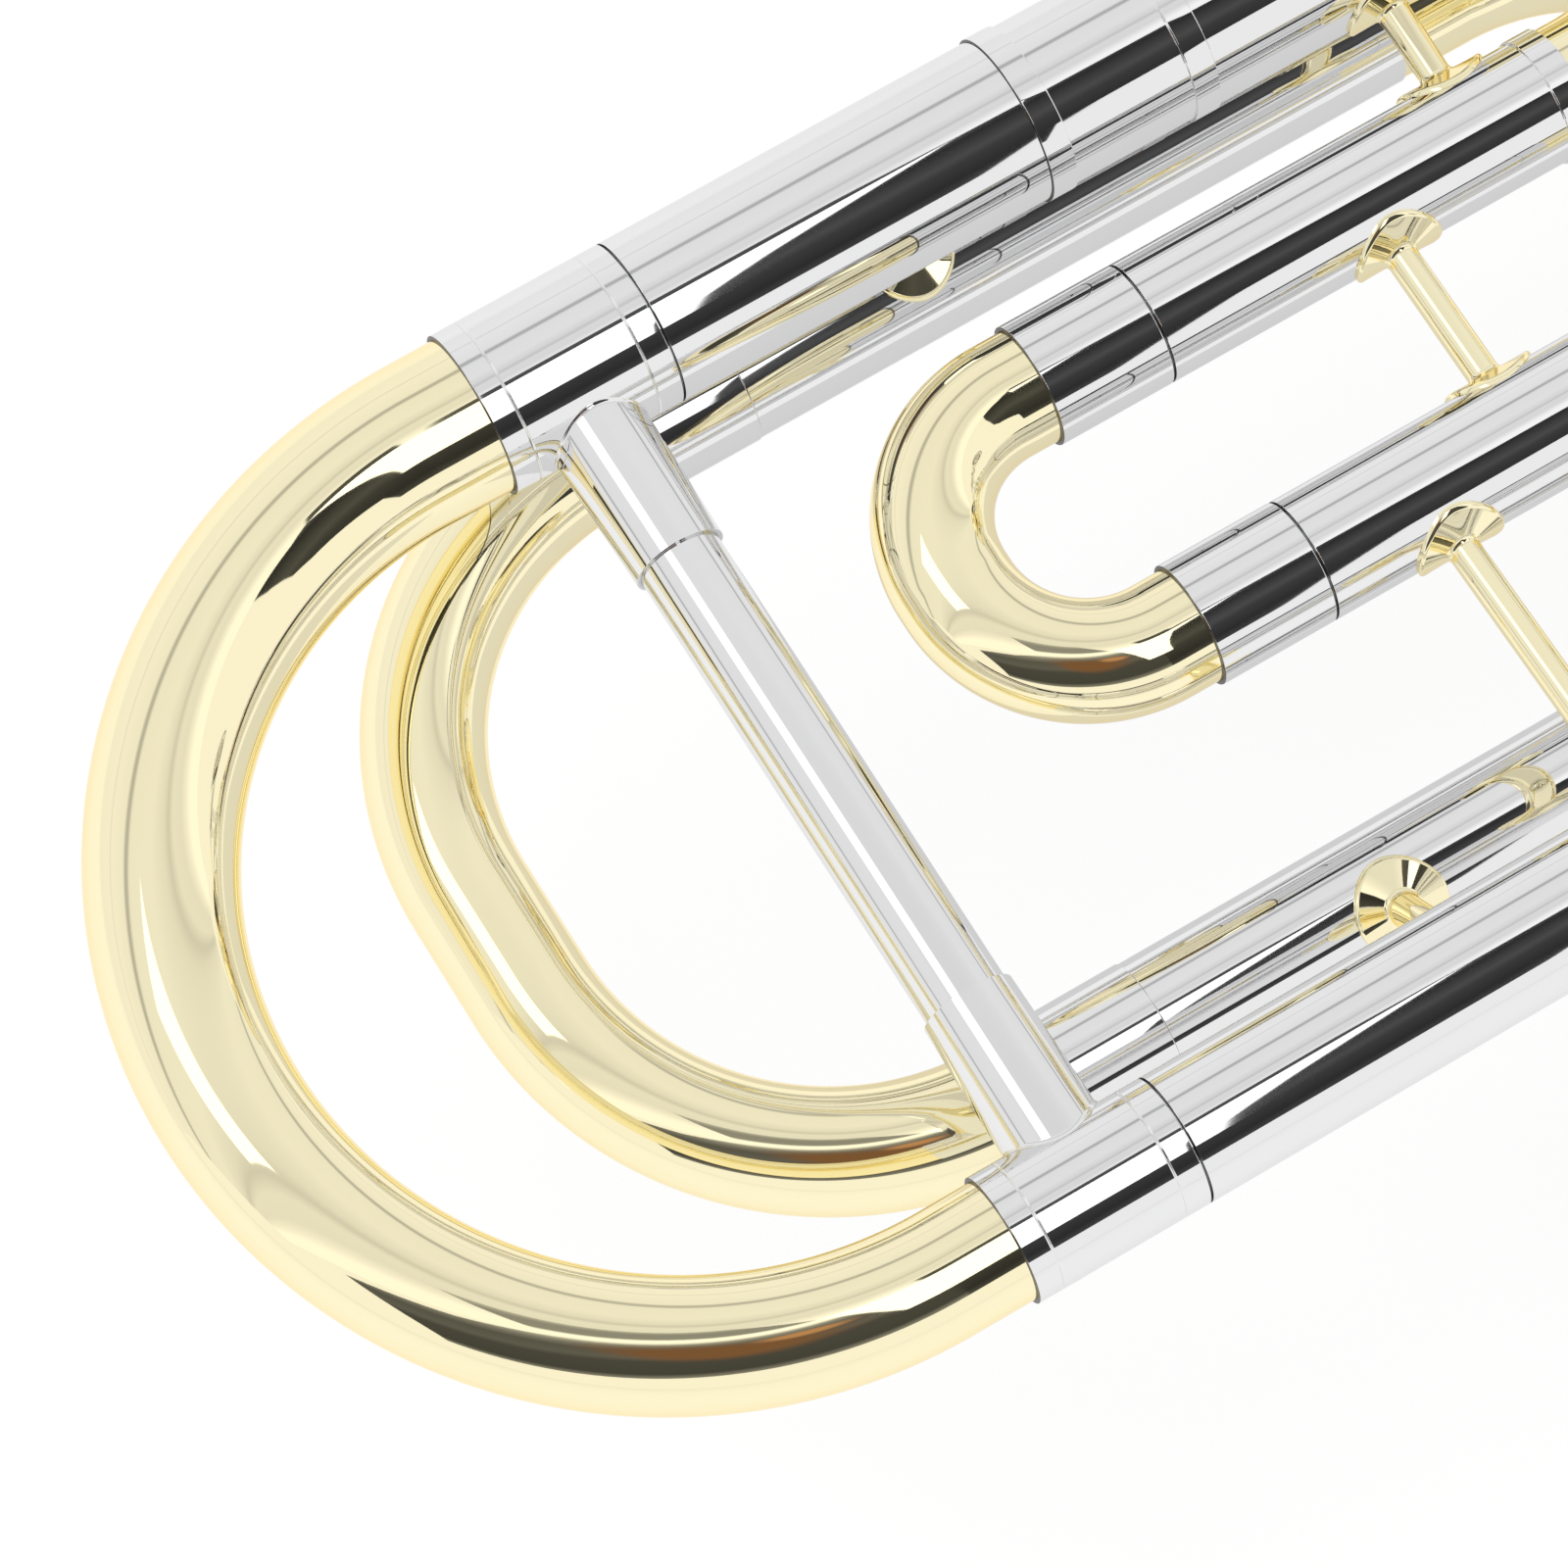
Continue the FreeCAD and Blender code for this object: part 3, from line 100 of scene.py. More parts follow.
# The face attribute and the colour of painted shade at a joint, and which faces at a piece's ends
# have it
# The painted shade is a thin dark line on the end faces, where shade falls in the gap between two
# pieces
JOINT_SHADE_ATTRIBUTE = "joint"
JOINT_SHADE_COLOUR = (0.06, 0.055, 0.05, 1)
JOINT_SHADE_DEPTH = 0.3 * MM
JOINT_SHADE_SLOPE = 0.6

# What the metal reflects. Angles are degrees round a line along X, from +Y up over the camera.
# An outline's rows hold an angle and where its left and right edges lie along X, in metres.
SCREEN_RADIUS = 1.8
SCREEN_STEP = 0.012
SCREEN_CENTRE = Vector((-0.28, 0.06, 0))
PALE_OUTLINE = ((-35, -6.7, 6.7), (104, -6.7, 6.7))
PALE_BANDS = ((-35, 1), (-20, 0.93), (18, 0.96), (20, 0.8), (22, 0.95), (42, 0.9), (45, 0.5),
              (47, 0.5), (50, 0.88), (68, 0.9), (76, 0.8), (79, 0.66), (82, 0.84), (88, 0.82),
              (92, 0.95), (96, 1.1), (104, 1.1))
DARK_OUTLINE = ((93, 0.28, 0.45), (98, 0.28, 0.51), (102, 0.28, 0.62), (104, 0.28, 0.85),
                (112, 0.28, 0.95), (130, 0.28, 1.08), (136, 0.28, 1), (145, 0.28, 0.57),
                (158, 0.28, 0.52))
DARK_BANDS = ((93, 0.1), (104, 0.03), (122, 0.08), (130, 0.05), (148, 0.03), (158, 0.06))
DIM_OUTLINE = ((88, -0.42, 0.1), (97, -0.5, 0.1), (103, -0.55, 0.1), (107, -1.2, 0.28),
               (110, -3.1, 0.28), (158, -3.1, 0.28))
DIM_BANDS = ((88, 0.5), (91, 0.28), (97, 0.28), (99, 1.15), (102, 1.15), (105, 0.35), (108, 0.2),
             (113, 0.1), (122, 0.12), (128, 0.07), (150, 0.06), (158, 0.25))
WEDGE_OUTLINE = ((98, 0.1, 0.5), (103, 0.1, 0.47), (112, 0.1, 0.42), (118, 0.1, 0.4),
                 (121, 0.1, 0.392), (131, 0.12, 0.388))
STRIPE_OUTLINE = ((60, -1.2, -0.5), (78, -1.2, -0.5))
BRIGHT_BANDS = ((58, 1.6), (133, 1.6))
WARM_SPOTS = (((119, -12, 0.5), (0.2, 0.1, 0.05, 1)), ((113, -2, 0.16), (0.5, 0.26, 0.13, 1)))
# A grey card under the tubes: painted shade standing for the shadowed floor that they reflect
# between them
FLOOR_SHADE_CARD = ((-0.262, 0.012), (-0.06, 0.112))
FLOOR_SHADE_DROP = 0.06
FLOOR_SHADE_LEVEL = 0.78
SCREEN_FACES = 140

# The rest of the studio. A softbox's row holds its name, place, size in metres and watts.
WHITE = (1, 1, 1, 1)
PALE_GREY = (0.9, 0.9, 0.9, 1)
WORLD_LEVEL = 0.72
FLOOR_GLOW = 0.85
FLOOR_DROP = 2 * MM
LIT_PLACE = Vector((-0.2, 0.06, 0))
SOFTBOXES = (("key_softbox", (-0.9, 0.5, 1.5), 1.2, 22),
             ("fill_softbox", (0.9, -0.9, 1.3), 1.0, 12))

slot_of = {part["node"]: part["material_slot"] for part in frame["record"]["subparts"]}
body_of = {node: body for body, nodes in frame["record"]["behaviour"]["bodies"].items()
           for node in nodes}


def middle(node):
    low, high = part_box(node)
    return (low + high) / 2


def half_height(node):
    low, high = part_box(node)
    return (high.z - low.z) / 2


def paired_lines(node):
    """The two lines along X that a node of two tubes of one size lies on, low Y first."""
    low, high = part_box(node)
    radius = half_height(node)
    return (Vector((0, low.y + radius, middle(node).z)),
            Vector((0, high.y - radius, middle(node).z)))


# The lines along X that tubes lie on, read from the solids
neck_line = Vector((0, 0, 0))
bell_line = Vector((0, middle("bell").y, 0))
loop_low = Vector((0, *middle("f_loop_lower_tube").yz))
loop_high = Vector((0, *middle("f_loop_upper_tube").yz))
slide_f_low, slide_f_high = paired_lines("f_slide_sleeves")
hand_low = Vector((0, 0, 0))
hand_high = Vector((0, 0, middle("lead_pipe").z))
rotor_middle = middle("rotor_bearing_plate")
rotor_port = Vector((0, 2 * rotor_middle.y, 0))


class TromboneShape(bpy.types.PropertyGroup):
    """Sizes of the visible finish."""
    sides: IntProperty(name="Sides", description="Flats round a tube", default=96, min=24)
    bend_step: FloatProperty(name="Bend step", description="Turn between two rings of a bend",
                             default=math.radians(1.5), unit="ROTATION")
    edge: FloatProperty(name="Edge", description="Rounding of a turned edge",
                        default=0.12 * MM, unit="LENGTH")
    line_width: FloatProperty(name="Line width", description="Width of a scribed line",
                              default=0.28 * MM, unit="LENGTH")
    line_depth: FloatProperty(name="Line depth", description="Depth of a scribed line",
                              default=0.12 * MM, unit="LENGTH")
    line_inset: FloatProperty(name="Line inset",
                              description="Distance of a scribed line from its ferrule's end",
                              default=3.3 * MM, unit="LENGTH")
    fillet: FloatProperty(name="Fillet", description="Solder fillet at the foot of a brace",
                          default=0.3 * MM, unit="LENGTH")
    socket_reach: FloatProperty(name="Brace socket", description="Length of a brace socket",
                                default=18.4 * MM, unit="LENGTH")
    socket_flare: FloatProperty(name="Socket flare",
                                description="How much wider a brace socket is at its foot",
                                default=0.3 * MM, unit="LENGTH")
    tube_wall: FloatProperty(name="Brace wall", description="Wall of the main slide's brace",
                             default=0.7 * MM, unit="LENGTH")
    rod_radius: FloatProperty(name="Brace rod", description="Radius of a flanged brace's rod",
                              default=2.1 * MM, unit="LENGTH")
    flange_thickness: FloatProperty(name="Flange", description="Thickness of a brace's flange",
                                    default=0.7 * MM, unit="LENGTH")
    bow_radius: FloatProperty(name="F tubing", description="Radius of the brass F bows",
                              default=7.9 * MM, unit="LENGTH")
    front_straight: FloatProperty(name="Front bow straight",
                                  description="Straight run at each end of a front bow",
                                  default=3 * MM, unit="LENGTH")
    s_bend_turn: FloatProperty(name="S bend", description="Bend radius of the S bend",
                               default=20 * MM, unit="LENGTH")
    rim_wire: FloatProperty(name="Rim wire", description="Radius of the bell's rolled rim",
                            default=2.1 * MM, unit="LENGTH")
    bell_wall: FloatProperty(name="Bell wall", description="Wall of the bell",
                             default=0.6 * MM, unit="LENGTH")
    bell_step: FloatProperty(name="Bell step",
                             description="How far the bell lies under the tail tube's surface",
                             default=0.35 * MM, unit="LENGTH")
    bell_power: FloatProperty(name="Bell flare", description="Power of the bell's flare",
                              default=0.7, min=0.3, max=1.2)
    loop_corner: FloatProperty(name="Loop corner",
                               description="Corner radius over half the loop's width",
                               default=0.857, min=0.3, max=1)
    f_corner: FloatProperty(name="F bow corner",
                            description="Corner radius over half the F bow's width",
                            default=0.965, min=0.3, max=1)


class TromboneColours(bpy.types.PropertyGroup):
    """Colours of the finishes."""
    brass: FloatVectorProperty(name="Lacquered brass", description="Brass under clear lacquer",
                               default=(0.97, 0.893, 0.61), subtype="COLOR")
    raw_brass: FloatVectorProperty(name="Machined brass", description="Bare turned brass",
                                   default=(0.76, 0.60, 0.32), subtype="COLOR")
    nickel: FloatVectorProperty(name="Nickel", description="Polished nickel silver",
                                default=(0.83, 0.83, 0.835), subtype="COLOR")
    chrome: FloatVectorProperty(name="Chrome", description="Chromed slide tubes",
                                default=(0.70, 0.72, 0.74), subtype="COLOR")
    silver: FloatVectorProperty(name="Silver plate", description="Mouthpiece plating",
                                default=(0.90, 0.89, 0.86), subtype="COLOR")
    steel: FloatVectorProperty(name="Steel", description="Springs, rods and screws",
                               default=(0.52, 0.53, 0.55), subtype="COLOR")
    rubber: FloatVectorProperty(name="Rubber", description="Bumpers",
                                default=(0.02, 0.02, 0.021), subtype="COLOR")
    cork: FloatVectorProperty(name="Cork", description="Water key cork",
                              default=(0.50, 0.33, 0.19), subtype="COLOR")


class TromboneStudio(bpy.types.PropertyGroup):
    """Camera and light."""
    lens: FloatProperty(name="Lens", description="Focal length on a 36 mm sensor",
                        default=173.55, unit="CAMERA")
    camera_offset: FloatVectorProperty(
        name="Camera place", description="Camera from the start of the tuning slide's sleeves",
        default=(-0.1730, -0.2173, 0.8362), subtype="TRANSLATION")
    camera_forward: FloatVectorProperty(name="Camera direction", description="Where it looks",
                                        default=(0.17536631, 0.31151948, -0.9339177),
                                        subtype="DIRECTION")
    camera_right: FloatVectorProperty(name="Camera right", description="Right in the picture",
                                      default=(0.85662471, -0.51581835, -0.01120479),
                                      subtype="DIRECTION")
    floor_half: FloatProperty(name="Floor", description="Half the floor's width",
                              default=20.0, unit="LENGTH")
    show_screens: BoolProperty(name="Screens", description="Cards that the metal reflects",
                               default=True)


def shape():
    return bpy.context.scene.trombone_shape


def colours():
    return bpy.context.scene.trombone_colours


def studio():
    return bpy.context.scene.trombone_studio


# Materials

def node_group(name, inputs, outputs):
    tree = bpy.data.node_groups.new(name, "ShaderNodeTree")
    for label, kind, value in inputs:
        tree.interface.new_socket(name=label, in_out="INPUT",
                                  socket_type=kind).default_value = value
    for label, kind in outputs:
        tree.interface.new_socket(name=label, in_out="OUTPUT", socket_type=kind)
    return tree, tree.nodes.new("NodeGroupInput"), tree.nodes.new("NodeGroupOutput")


def set_values(node, values):
    for name, value in values.items():
        node.inputs[name].default_value = value


def new_node(tree, kind, values=None):
    """A shader node with plain values on its named sockets."""
    node = tree.nodes.new("ShaderNode" + kind)
    set_values(node, values or {})
    return node


def feed(tree, socket, value):
    """Links a socket to another one, or sets its plain value."""
    if isinstance(value, bpy.types.NodeSocket):
        tree.links.new(value, socket)
    else:
        socket.default_value = value


def math_node(tree, operation, *values):
    """A Math node; each value is a socket or a number."""
    node = new_node(tree, "Math")
    node.operation = operation
    for socket, value in zip(node.inputs, values):
        feed(tree, socket, value)
    return node.outputs[0]


def mixed(tree, share, first, second):
    """A colour between two; each is a socket or a colour."""
    node = new_node(tree, "Mix")
    node.data_type = "RGBA"
    for name, value in (("Factor", share), ("A", first), ("B", second)):
        feed(tree, node.inputs[name], value)
    return node.outputs["Result"]


def mixed_shader(tree, share, first, second):
    node = new_node(tree, "MixShader")
    for socket, source in zip(node.inputs, (share, first, second)):
        tree.links.new(source, socket)
    return node.outputs[0]


def bumped(tree, shader, height, strength, depth):
    bump = new_node(tree, "Bump", {"Strength": strength, "Distance": depth})
    tree.links.new(height, bump.inputs["Height"])
    tree.links.new(bump.outputs["Normal"], shader.inputs["Normal"])


def new_material(name):
    """A material with its tree and its Principled shader."""
    material = bpy.data.materials.new(name)
    material.use_nodes = True
    return material, material.node_tree, material.node_tree.nodes["Principled BSDF"]


def object_place(tree):
    return new_node(tree, "TexCoord").outputs["Object"]


def noise(tree, scale, detail, stretch=(1, 1, 1)):
    """Noise on Object coordinates, stretched along the axes."""
    mapping = new_node(tree, "Mapping", {"Scale": stretch})
    tree.links.new(object_place(tree), mapping.inputs["Vector"])
    texture = new_node(tree, "TexNoise", {"Scale": scale, "Detail": detail})
    tree.links.new(mapping.outputs[0], texture.inputs["Vector"])
    return texture.outputs["Fac"]


def joint_shade_share(tree):
    """How far a face belongs to a joint, where a dark line of painted shade falls between two
    pieces.
    """
    node = new_node(tree, "Attribute")
    node.attribute_name = JOINT_SHADE_ATTRIBUTE
    return node.outputs["Fac"]


def polish_group():
    """Roughness of a buffed surface: faint buffing lines and hand marks, and their height."""
    tree, start, end = node_group(
        "buffed_surface",
        [("Roughness", "NodeSocketFloat", 0.05), ("Marks", "NodeSocketFloat", 0.03)],
        [("Roughness", "NodeSocketFloat"), ("Height", "NodeSocketFloat")])
    lines = noise(tree, scale=420, detail=2, stretch=(0.06, 1, 1))
    hands = noise(tree, scale=22, detail=3)
    # Faces with painted joint shade are made rougher as well
    joint = math_node(tree, "MULTIPLY", joint_shade_share(tree), 0.5)
    both = math_node(tree, "ADD", math_node(tree, "MULTIPLY", lines, 0.35),
                     math_node(tree, "MULTIPLY", hands, 0.65))
    spread = math_node(tree, "MULTIPLY", math_node(tree, "SUBTRACT", both, 0.5),
                       start.outputs["Marks"])
    rough = math_node(tree, "ADD", start.outputs["Roughness"], spread)
    tree.links.new(math_node(tree, "MAXIMUM", math_node(tree, "MAXIMUM", rough, joint), 0.01),
                   end.inputs["Roughness"])
    tree.links.new(lines, end.inputs["Height"])
    return tree


def tone_group():
    """Colour that drifts a little over the surface, with painted shade at the joints."""
    tree, start, end = node_group(
        "tone_drift",
        [("Colour", "NodeSocketColor", (1, 1, 1, 1)), ("Deep", "NodeSocketColor", (1, 1, 1, 1)),
         ("Amount", "NodeSocketFloat", 0.2)],
        [("Colour", "NodeSocketColor")])
    drift = noise(tree, scale=14, detail=2)
    share = math_node(tree, "MULTIPLY", drift, start.outputs["Amount"])
    tone = mixed(tree, share, start.outputs["Colour"], start.outputs["Deep"])
    # Painted shade: the joint faces turn dark, standing for shade in the gap between pieces
    tree.links.new(mixed(tree, joint_shade_share(tree), tone, JOINT_SHADE_COLOUR), end.inputs["Colour"])
    return tree


def grain_group():
    """Coarse grain for rubber and cork: a mask and a height."""
    tree, start, end = node_group(
        "pressed_grain", [("Scale", "NodeSocketFloat", 900.0)],
        [("Mask", "NodeSocketFloat"), ("Height", "NodeSocketFloat")])
    cells = new_node(tree, "TexVoronoi")
    tree.links.new(object_place(tree), cells.inputs["Vector"])
    tree.links.new(start.outputs["Scale"], cells.inputs["Scale"])
    tree.links.new(cells.outputs["Distance"], end.inputs["Mask"])
    tree.links.new(cells.outputs["Distance"], end.inputs["Height"])
    return tree


def finish_name(slot):
    return "finish " + slot


def place_group(tree, group, values):
    """An effect in a material, with the material's own values."""
    node = new_node(tree, "Group")
    node.node_tree = group
    set_values(node, values)
    return node


def metal(groups, name, colour, deep, roughness, marks, drift, coat=0, rim=(0.9, 0.9, 0.9)):
    """Polished metal whose colour drifts towards a share of itself, under lacquer if coated."""
    material, tree, shader = new_material(finish_name(name))
    set_values(shader, {"Metallic": 1, "Specular Tint": (*rim, 1), "Coat Weight": coat,
                        "Coat Roughness": 0.02})
    deep_colour = (*(c * share for c, share in zip(colour, deep)), 1)
    tone = place_group(tree, groups["tone"],
                       {"Colour": (*colour, 1), "Deep": deep_colour, "Amount": drift})
    tree.links.new(tone.outputs["Colour"], shader.inputs["Base Color"])
    buffed = place_group(tree, groups["polish"], {"Roughness": roughness, "Marks": marks})
    tree.links.new(buffed.outputs["Roughness"], shader.inputs["Roughness"])
    bumped(tree, shader, buffed.outputs["Height"], strength=0.02, depth=0.01 * MM)


def grained(groups, name, colour, share, roughness, scale, depth):
    """Rubber or cork: a dull surface with pressed grain, of a share of its colour."""
    material, tree, shader = new_material(finish_name(name))
    grain = place_group(tree, groups["grain"], {"Scale": scale})
    mask = grain.outputs["Mask"]
    tree.links.new(mixed(tree, mask, (*colour, 1), (*(c * share for c in colour), 1)),
                   shader.inputs["Base Color"])
    tree.links.new(math_node(tree, "MULTIPLY_ADD", mask, 0.15, roughness),
                   shader.inputs["Roughness"])
    bumped(tree, shader, grain.outputs["Height"], strength=1, depth=depth)


def make_finishes():
    """Every finish; a metal's row ends with its roughness, its marks and its drift of tone."""
    groups = {"polish": polish_group(), "tone": tone_group(), "grain": grain_group()}
    c = colours()
    metal(groups, "lacquered_brass", c.brass, (0.98, 0.96, 0.88), 0.035, 0.03, 0.5,
          coat=0.4, rim=(0.99, 0.88, 0.63))
    for name, colour, deep, *finish in (("raw_brass", c.raw_brass, 0.8, 0.16, 0.1, 0.6),
                                        ("nickel_silver", c.nickel, 0.93, 0.03, 0.025, 0.4),
                                        ("chrome_plate", c.chrome, 0.95, 0.05, 0.04, 0.3),
                                        ("silver_plate", c.silver, 0.92, 0.05, 0.05, 0.4),
                                        ("spring_steel", c.steel, 0.8, 0.2, 0.12, 0.5)):
        metal(groups, name, colour, (deep,) * 3, *finish)
    grained(groups, "rubber", c.rubber, 2.2, 0.55, 1600, 0.05 * MM)
    grained(groups, "cork", c.cork, 0.45, 0.8, 1100, 0.1 * MM)


def finish_of(slot):
    if finish_name(slot) not in bpy.data.materials:
        make_finishes()
    return bpy.data.materials[finish_name(slot)]


# Modelling

def added(name, data):
    """A new object in the scene."""
    thing = bpy.data.objects.new(name, data)
    bpy.context.scene.collection.objects.link(thing)
    return thing


def placed(bm, name, finish):
    """An object with the bmesh's mesh and one material."""
    mesh = bpy.data.meshes.new(name)
    bm.to_mesh(mesh)
    bm.free()
    mesh.materials.append(finish)
    return added(name, mesh)


def like_node(bm, node, smooth=CREASE, weighted=True):
    """Makes the finished piece that stands for a node, with the node's body and slot."""
    if not bm.faces:
        raise RuntimeError(node + " has no faces")
    piece = placed(bm, node + "_finished", finish_of(slot_of[node]))
    piece.data.shade_smooth()
    piece.data.set_sharp_from_angle(angle=smooth)
    if weighted:
        piece.modifiers.new("weighted_normals", "WEIGHTED_NORMAL").keep_sharp = True
    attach(piece, body_of[node])
    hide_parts(node)


def soften(bm, width=None):
    """Rounds the sharp edges of a closed shape."""
    sharp = [e for e in bm.edges if len(e.link_faces) == 2 and e.calc_face_angle(0) > CREASE]
    if sharp:
        bmesh.ops.bevel(bm, geom=sharp, offset=width or shape().edge, segments=2,
                        affect="EDGES", profile=0.5, material=-1, clamp_overlap=True)


def outward(bm):
    bmesh.ops.remove_doubles(bm, verts=bm.verts, dist=WELD)
    bmesh.ops.recalc_face_normals(bm, faces=bm.faces)


def revolved(bm, geom, centre, axis, angle, steps):
    """Spins an outline round a line, closed where the turn is full, and gives its last edges."""
    made = bmesh.ops.spin(bm, geom=geom, cent=centre, axis=axis, dvec=(0, 0, 0), angle=angle,
                          steps=steps, use_merge=angle == FULL_TURN, use_normal_flip=False,
                          use_duplicate=False)["geom_last"]
    return [g for g in made if isinstance(g, bmesh.types.BMEdge)]


def spun(outline, base, along, across, sides=None):
    """Turns a closed outline of (distance along, radius) points round a line."""
    bm = bmesh.new()
    verts = [bm.verts.new(base + along * a + across * r) for a, r in outline]
    edges = [bm.edges.new(pair) for pair in zip(verts, verts[1:] + verts[:1])]
    revolved(bm, verts + edges, base, along, FULL_TURN, sides or shape().sides)
    outward(bm)
    return bm


def turned(outline, base, along=X, across=Z):
    """A turned piece with softened edges."""
    bm = spun(outline, base, along, across)
    soften(bm)
    return bm


def add_to(bm, part):
    """Moves what another bmesh holds into this one."""
    mesh = bpy.data.meshes.new("part")
    part.to_mesh(mesh)
    part.free()
    bm.from_mesh(mesh)
    bpy.data.meshes.remove(mesh)


def paint_joint_shade(bm, along=X, shade_amount=0.85):
    """Marks the end faces of a turned piece, where a thin dark line of painted shade shows the
    gap between pieces.
    """
    layer = bm.faces.layers.float.new(JOINT_SHADE_ATTRIBUTE)
    places = [v.co.dot(along) for v in bm.verts]
    ends = (min(places), max(places))
    bm.normal_update()
    for face in bm.faces:
        at = face.calc_center_median().dot(along)
        off_end = min(abs(at - end) for end in ends)
        if off_end < JOINT_SHADE_DEPTH and abs(face.normal.dot(along)) > JOINT_SHADE_SLOPE:
            face[layer] = shade_amount
    return bm


def node_copy(node):
    """A welded copy of a node's mesh."""
    bm = bmesh.new()
    bm.from_mesh(frame["nodes"][node].data)
    bmesh.ops.remove_doubles(bm, verts=bm.verts, dist=WELD)
    return bm


def relathe(bm, node, base, along, across, reach):
    """Cuts a turned node on one side of its axis and turns that outline smoothly."""
    cut = node_copy(node)
    flat = along.cross(across)

    def radius(v):
        away = v.co - base
        return (away - along * away.dot(along)).length

    bmesh.ops.delete(cut, geom=[v for v in cut.verts if radius(v) > reach], context="VERTS")
    if not cut.verts:
        raise RuntimeError(node + " has nothing on this axis")
    widest = max(radius(v) for v in cut.verts)
    for co, no, inner, outer in ((base, flat, True, True), (base, across, True, False)):
        bmesh.ops.bisect_plane(cut, geom=cut.verts[:] + cut.edges[:] + cut.faces[:],
                               dist=WELD / 10, plane_co=co, plane_no=no, clear_inner=inner,
                               clear_outer=outer)
    bmesh.ops.remove_doubles(cut, verts=cut.verts, dist=WELD)
    scale = widest / max(radius(v) for v in cut.verts)
    fresh = {}
    for v in cut.verts:
        place = base + along * (v.co - base).dot(along)
        fresh[v] = bm.verts.new(place + (v.co - place) * scale)
    edges = [bm.edges.new([fresh[v] for v in e.verts]) for e in cut.edges]
    cut.free()
    revolved(bm, list(fresh.values()) + edges, base, along, FULL_TURN, shape().sides)


def lathed_node(node, bases, along=X, across=Z, reach=WIDE_REACH, joints=True):
    """One smooth piece for a node that is turned round one or more parallel lines."""
    bm = bmesh.new()
    for base in bases:
        relathe(bm, node, base, along, across, reach)
    outward(bm)
    soften(bm)
    # Painted shade on the end faces, unless it is left out
    if joints:
        paint_joint_shade(bm, along)
    like_node(bm, node)


def copied_node(node, edge=None):
    """A piece with a node's own shape, welded so that its curves shade smoothly."""
    bm = node_copy(node)
    if edge:
        soften(bm, edge)
    like_node(bm, node, smooth=COPY_CREASE, weighted=False)


def ring(bm, centre, heading, radius):
    """Edges of a circle that faces along heading."""
    turn = heading.to_track_quat("Z", "Y").to_matrix().to_4x4()
    made = bmesh.ops.create_circle(bm, cap_ends=False, radius=radius, segments=shape().sides,
                                   matrix=Matrix.Translation(centre) @ turn)
    return list({e for v in made["verts"] for e in v.link_edges})


def swept(steps, start, heading, radius):
    """A closed round bar that follows straight runs (length,) and turns (radius, axis, angle)."""
    bm = bmesh.new()
    first = ring(bm, start, heading, radius)
    edges = first
    place = start.copy()
    heading = heading.copy()
    for step in steps:
        if len(step) == 1:
            made = bmesh.ops.extrude_edge_only(bm, edges=edges)["geom"]
            fresh = {g for g in made if isinstance(g, bmesh.types.BMVert)}
            bmesh.ops.translate(bm, verts=list(fresh), vec=heading * step[0])
            edges = [g for g in made if isinstance(g, bmesh.types.BMEdge)
                     and fresh.issuperset(g.verts)]
            place += heading * step[0]
            continue
        bend, axis, angle = step
        centre = place + axis.cross(heading) * bend
        edges = revolved(bm, edges, centre, axis, angle,
                         max(2, round(angle / shape().bend_step)))
        turn = Matrix.Rotation(angle, 3, axis)
        place = centre + turn @ (place - centre)
        heading = turn @ heading
    for loop in (first, edges):
        bmesh.ops.contextual_create(bm, geom=loop)
    outward(bm)
    return bm


def return_steps(low, high, corner, lead):
    """Runs of a bow whose ends face +X, with two equal corners and a flat back."""
    across = (high - low).normalized()
    flat = (high - low).length - 2 * corner
    axis = -across.cross(-X)
    quarter = math.pi / 2
    steps = [(lead,), (corner, axis, quarter)]
    if flat > WELD:
        steps.append((flat,))
    return steps + [(corner, axis, quarter), (lead,)]


def on_line(line, x):
    return Vector((x, line.y, line.z))


# Pieces

def seated(bm, base, towards, radius, lean):
    """Fits a bar's foot round a tube along X: whole up to the seat, and less farther on."""
    side = X.cross(towards)
    for v in bm.verts:
        away = v.co - base
        offset = away.dot(side)
        drop = radius - math.sqrt(max(radius * radius - offset * offset, 0))
        share = 1 - min(max((away.dot(towards) - SEAT) / lean, 0), 1)
        v.co -= towards * drop * share
    return bm


def flanged_brace(node, first, second):
    """A rod between two tubes, with a thin flange and a solder fillet at each end."""
    low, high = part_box(node)
    (first_line, first_radius), (second_line, second_radius) = first, second
    between = second_line - first_line
    towards = between.normalized()
    base = on_line(first_line, (low.x + high.x) / 2) + towards * first_radius
    length = between.length - first_radius - second_radius
    flange = (high.x - low.x) / 2
    rod, thickness, fillet = shape().rod_radius, shape().flange_thickness, shape().fillet
    half = [(-SUNK, 0), (-SUNK, flange - 0.2 * MM), (0, flange),
            (thickness * 0.7, flange), (thickness, flange - 0.25 * MM),
            (thickness, rod + 2 * fillet), (thickness + 0.4 * fillet, rod + 0.9 * fillet),
            (thickness + fillet, rod + 0.35 * fillet), (thickness + 2.2 * fillet, rod)]
    bm = turned(half + [(length - a, r) for a, r in reversed(half)], base, towards, X)
    seated(bm, base, towards, first_radius, ROD_LEAN)
    seated(bm, base + towards * length, -towards, second_radius, ROD_LEAN)
    like_node(bm, node)


def ferrule_outline(start, end, outer, inner):
    """A ferrule with a scribed line near each end."""
    s = shape()
    deep = outer - s.line_depth
    points = [(start, inner), (start, outer)]
    for near in (start + s.line_inset, end - s.line_inset):
        points += [(near - s.line_width / 2, outer), (near - s.line_width / 4, deep),
                   (near + s.line_width / 4, deep), (near + s.line_width / 2, outer)]
    return points + [(end, outer), (end, inner)]


class PieceOperator:
    bl_options = {"REGISTER", "UNDO"}


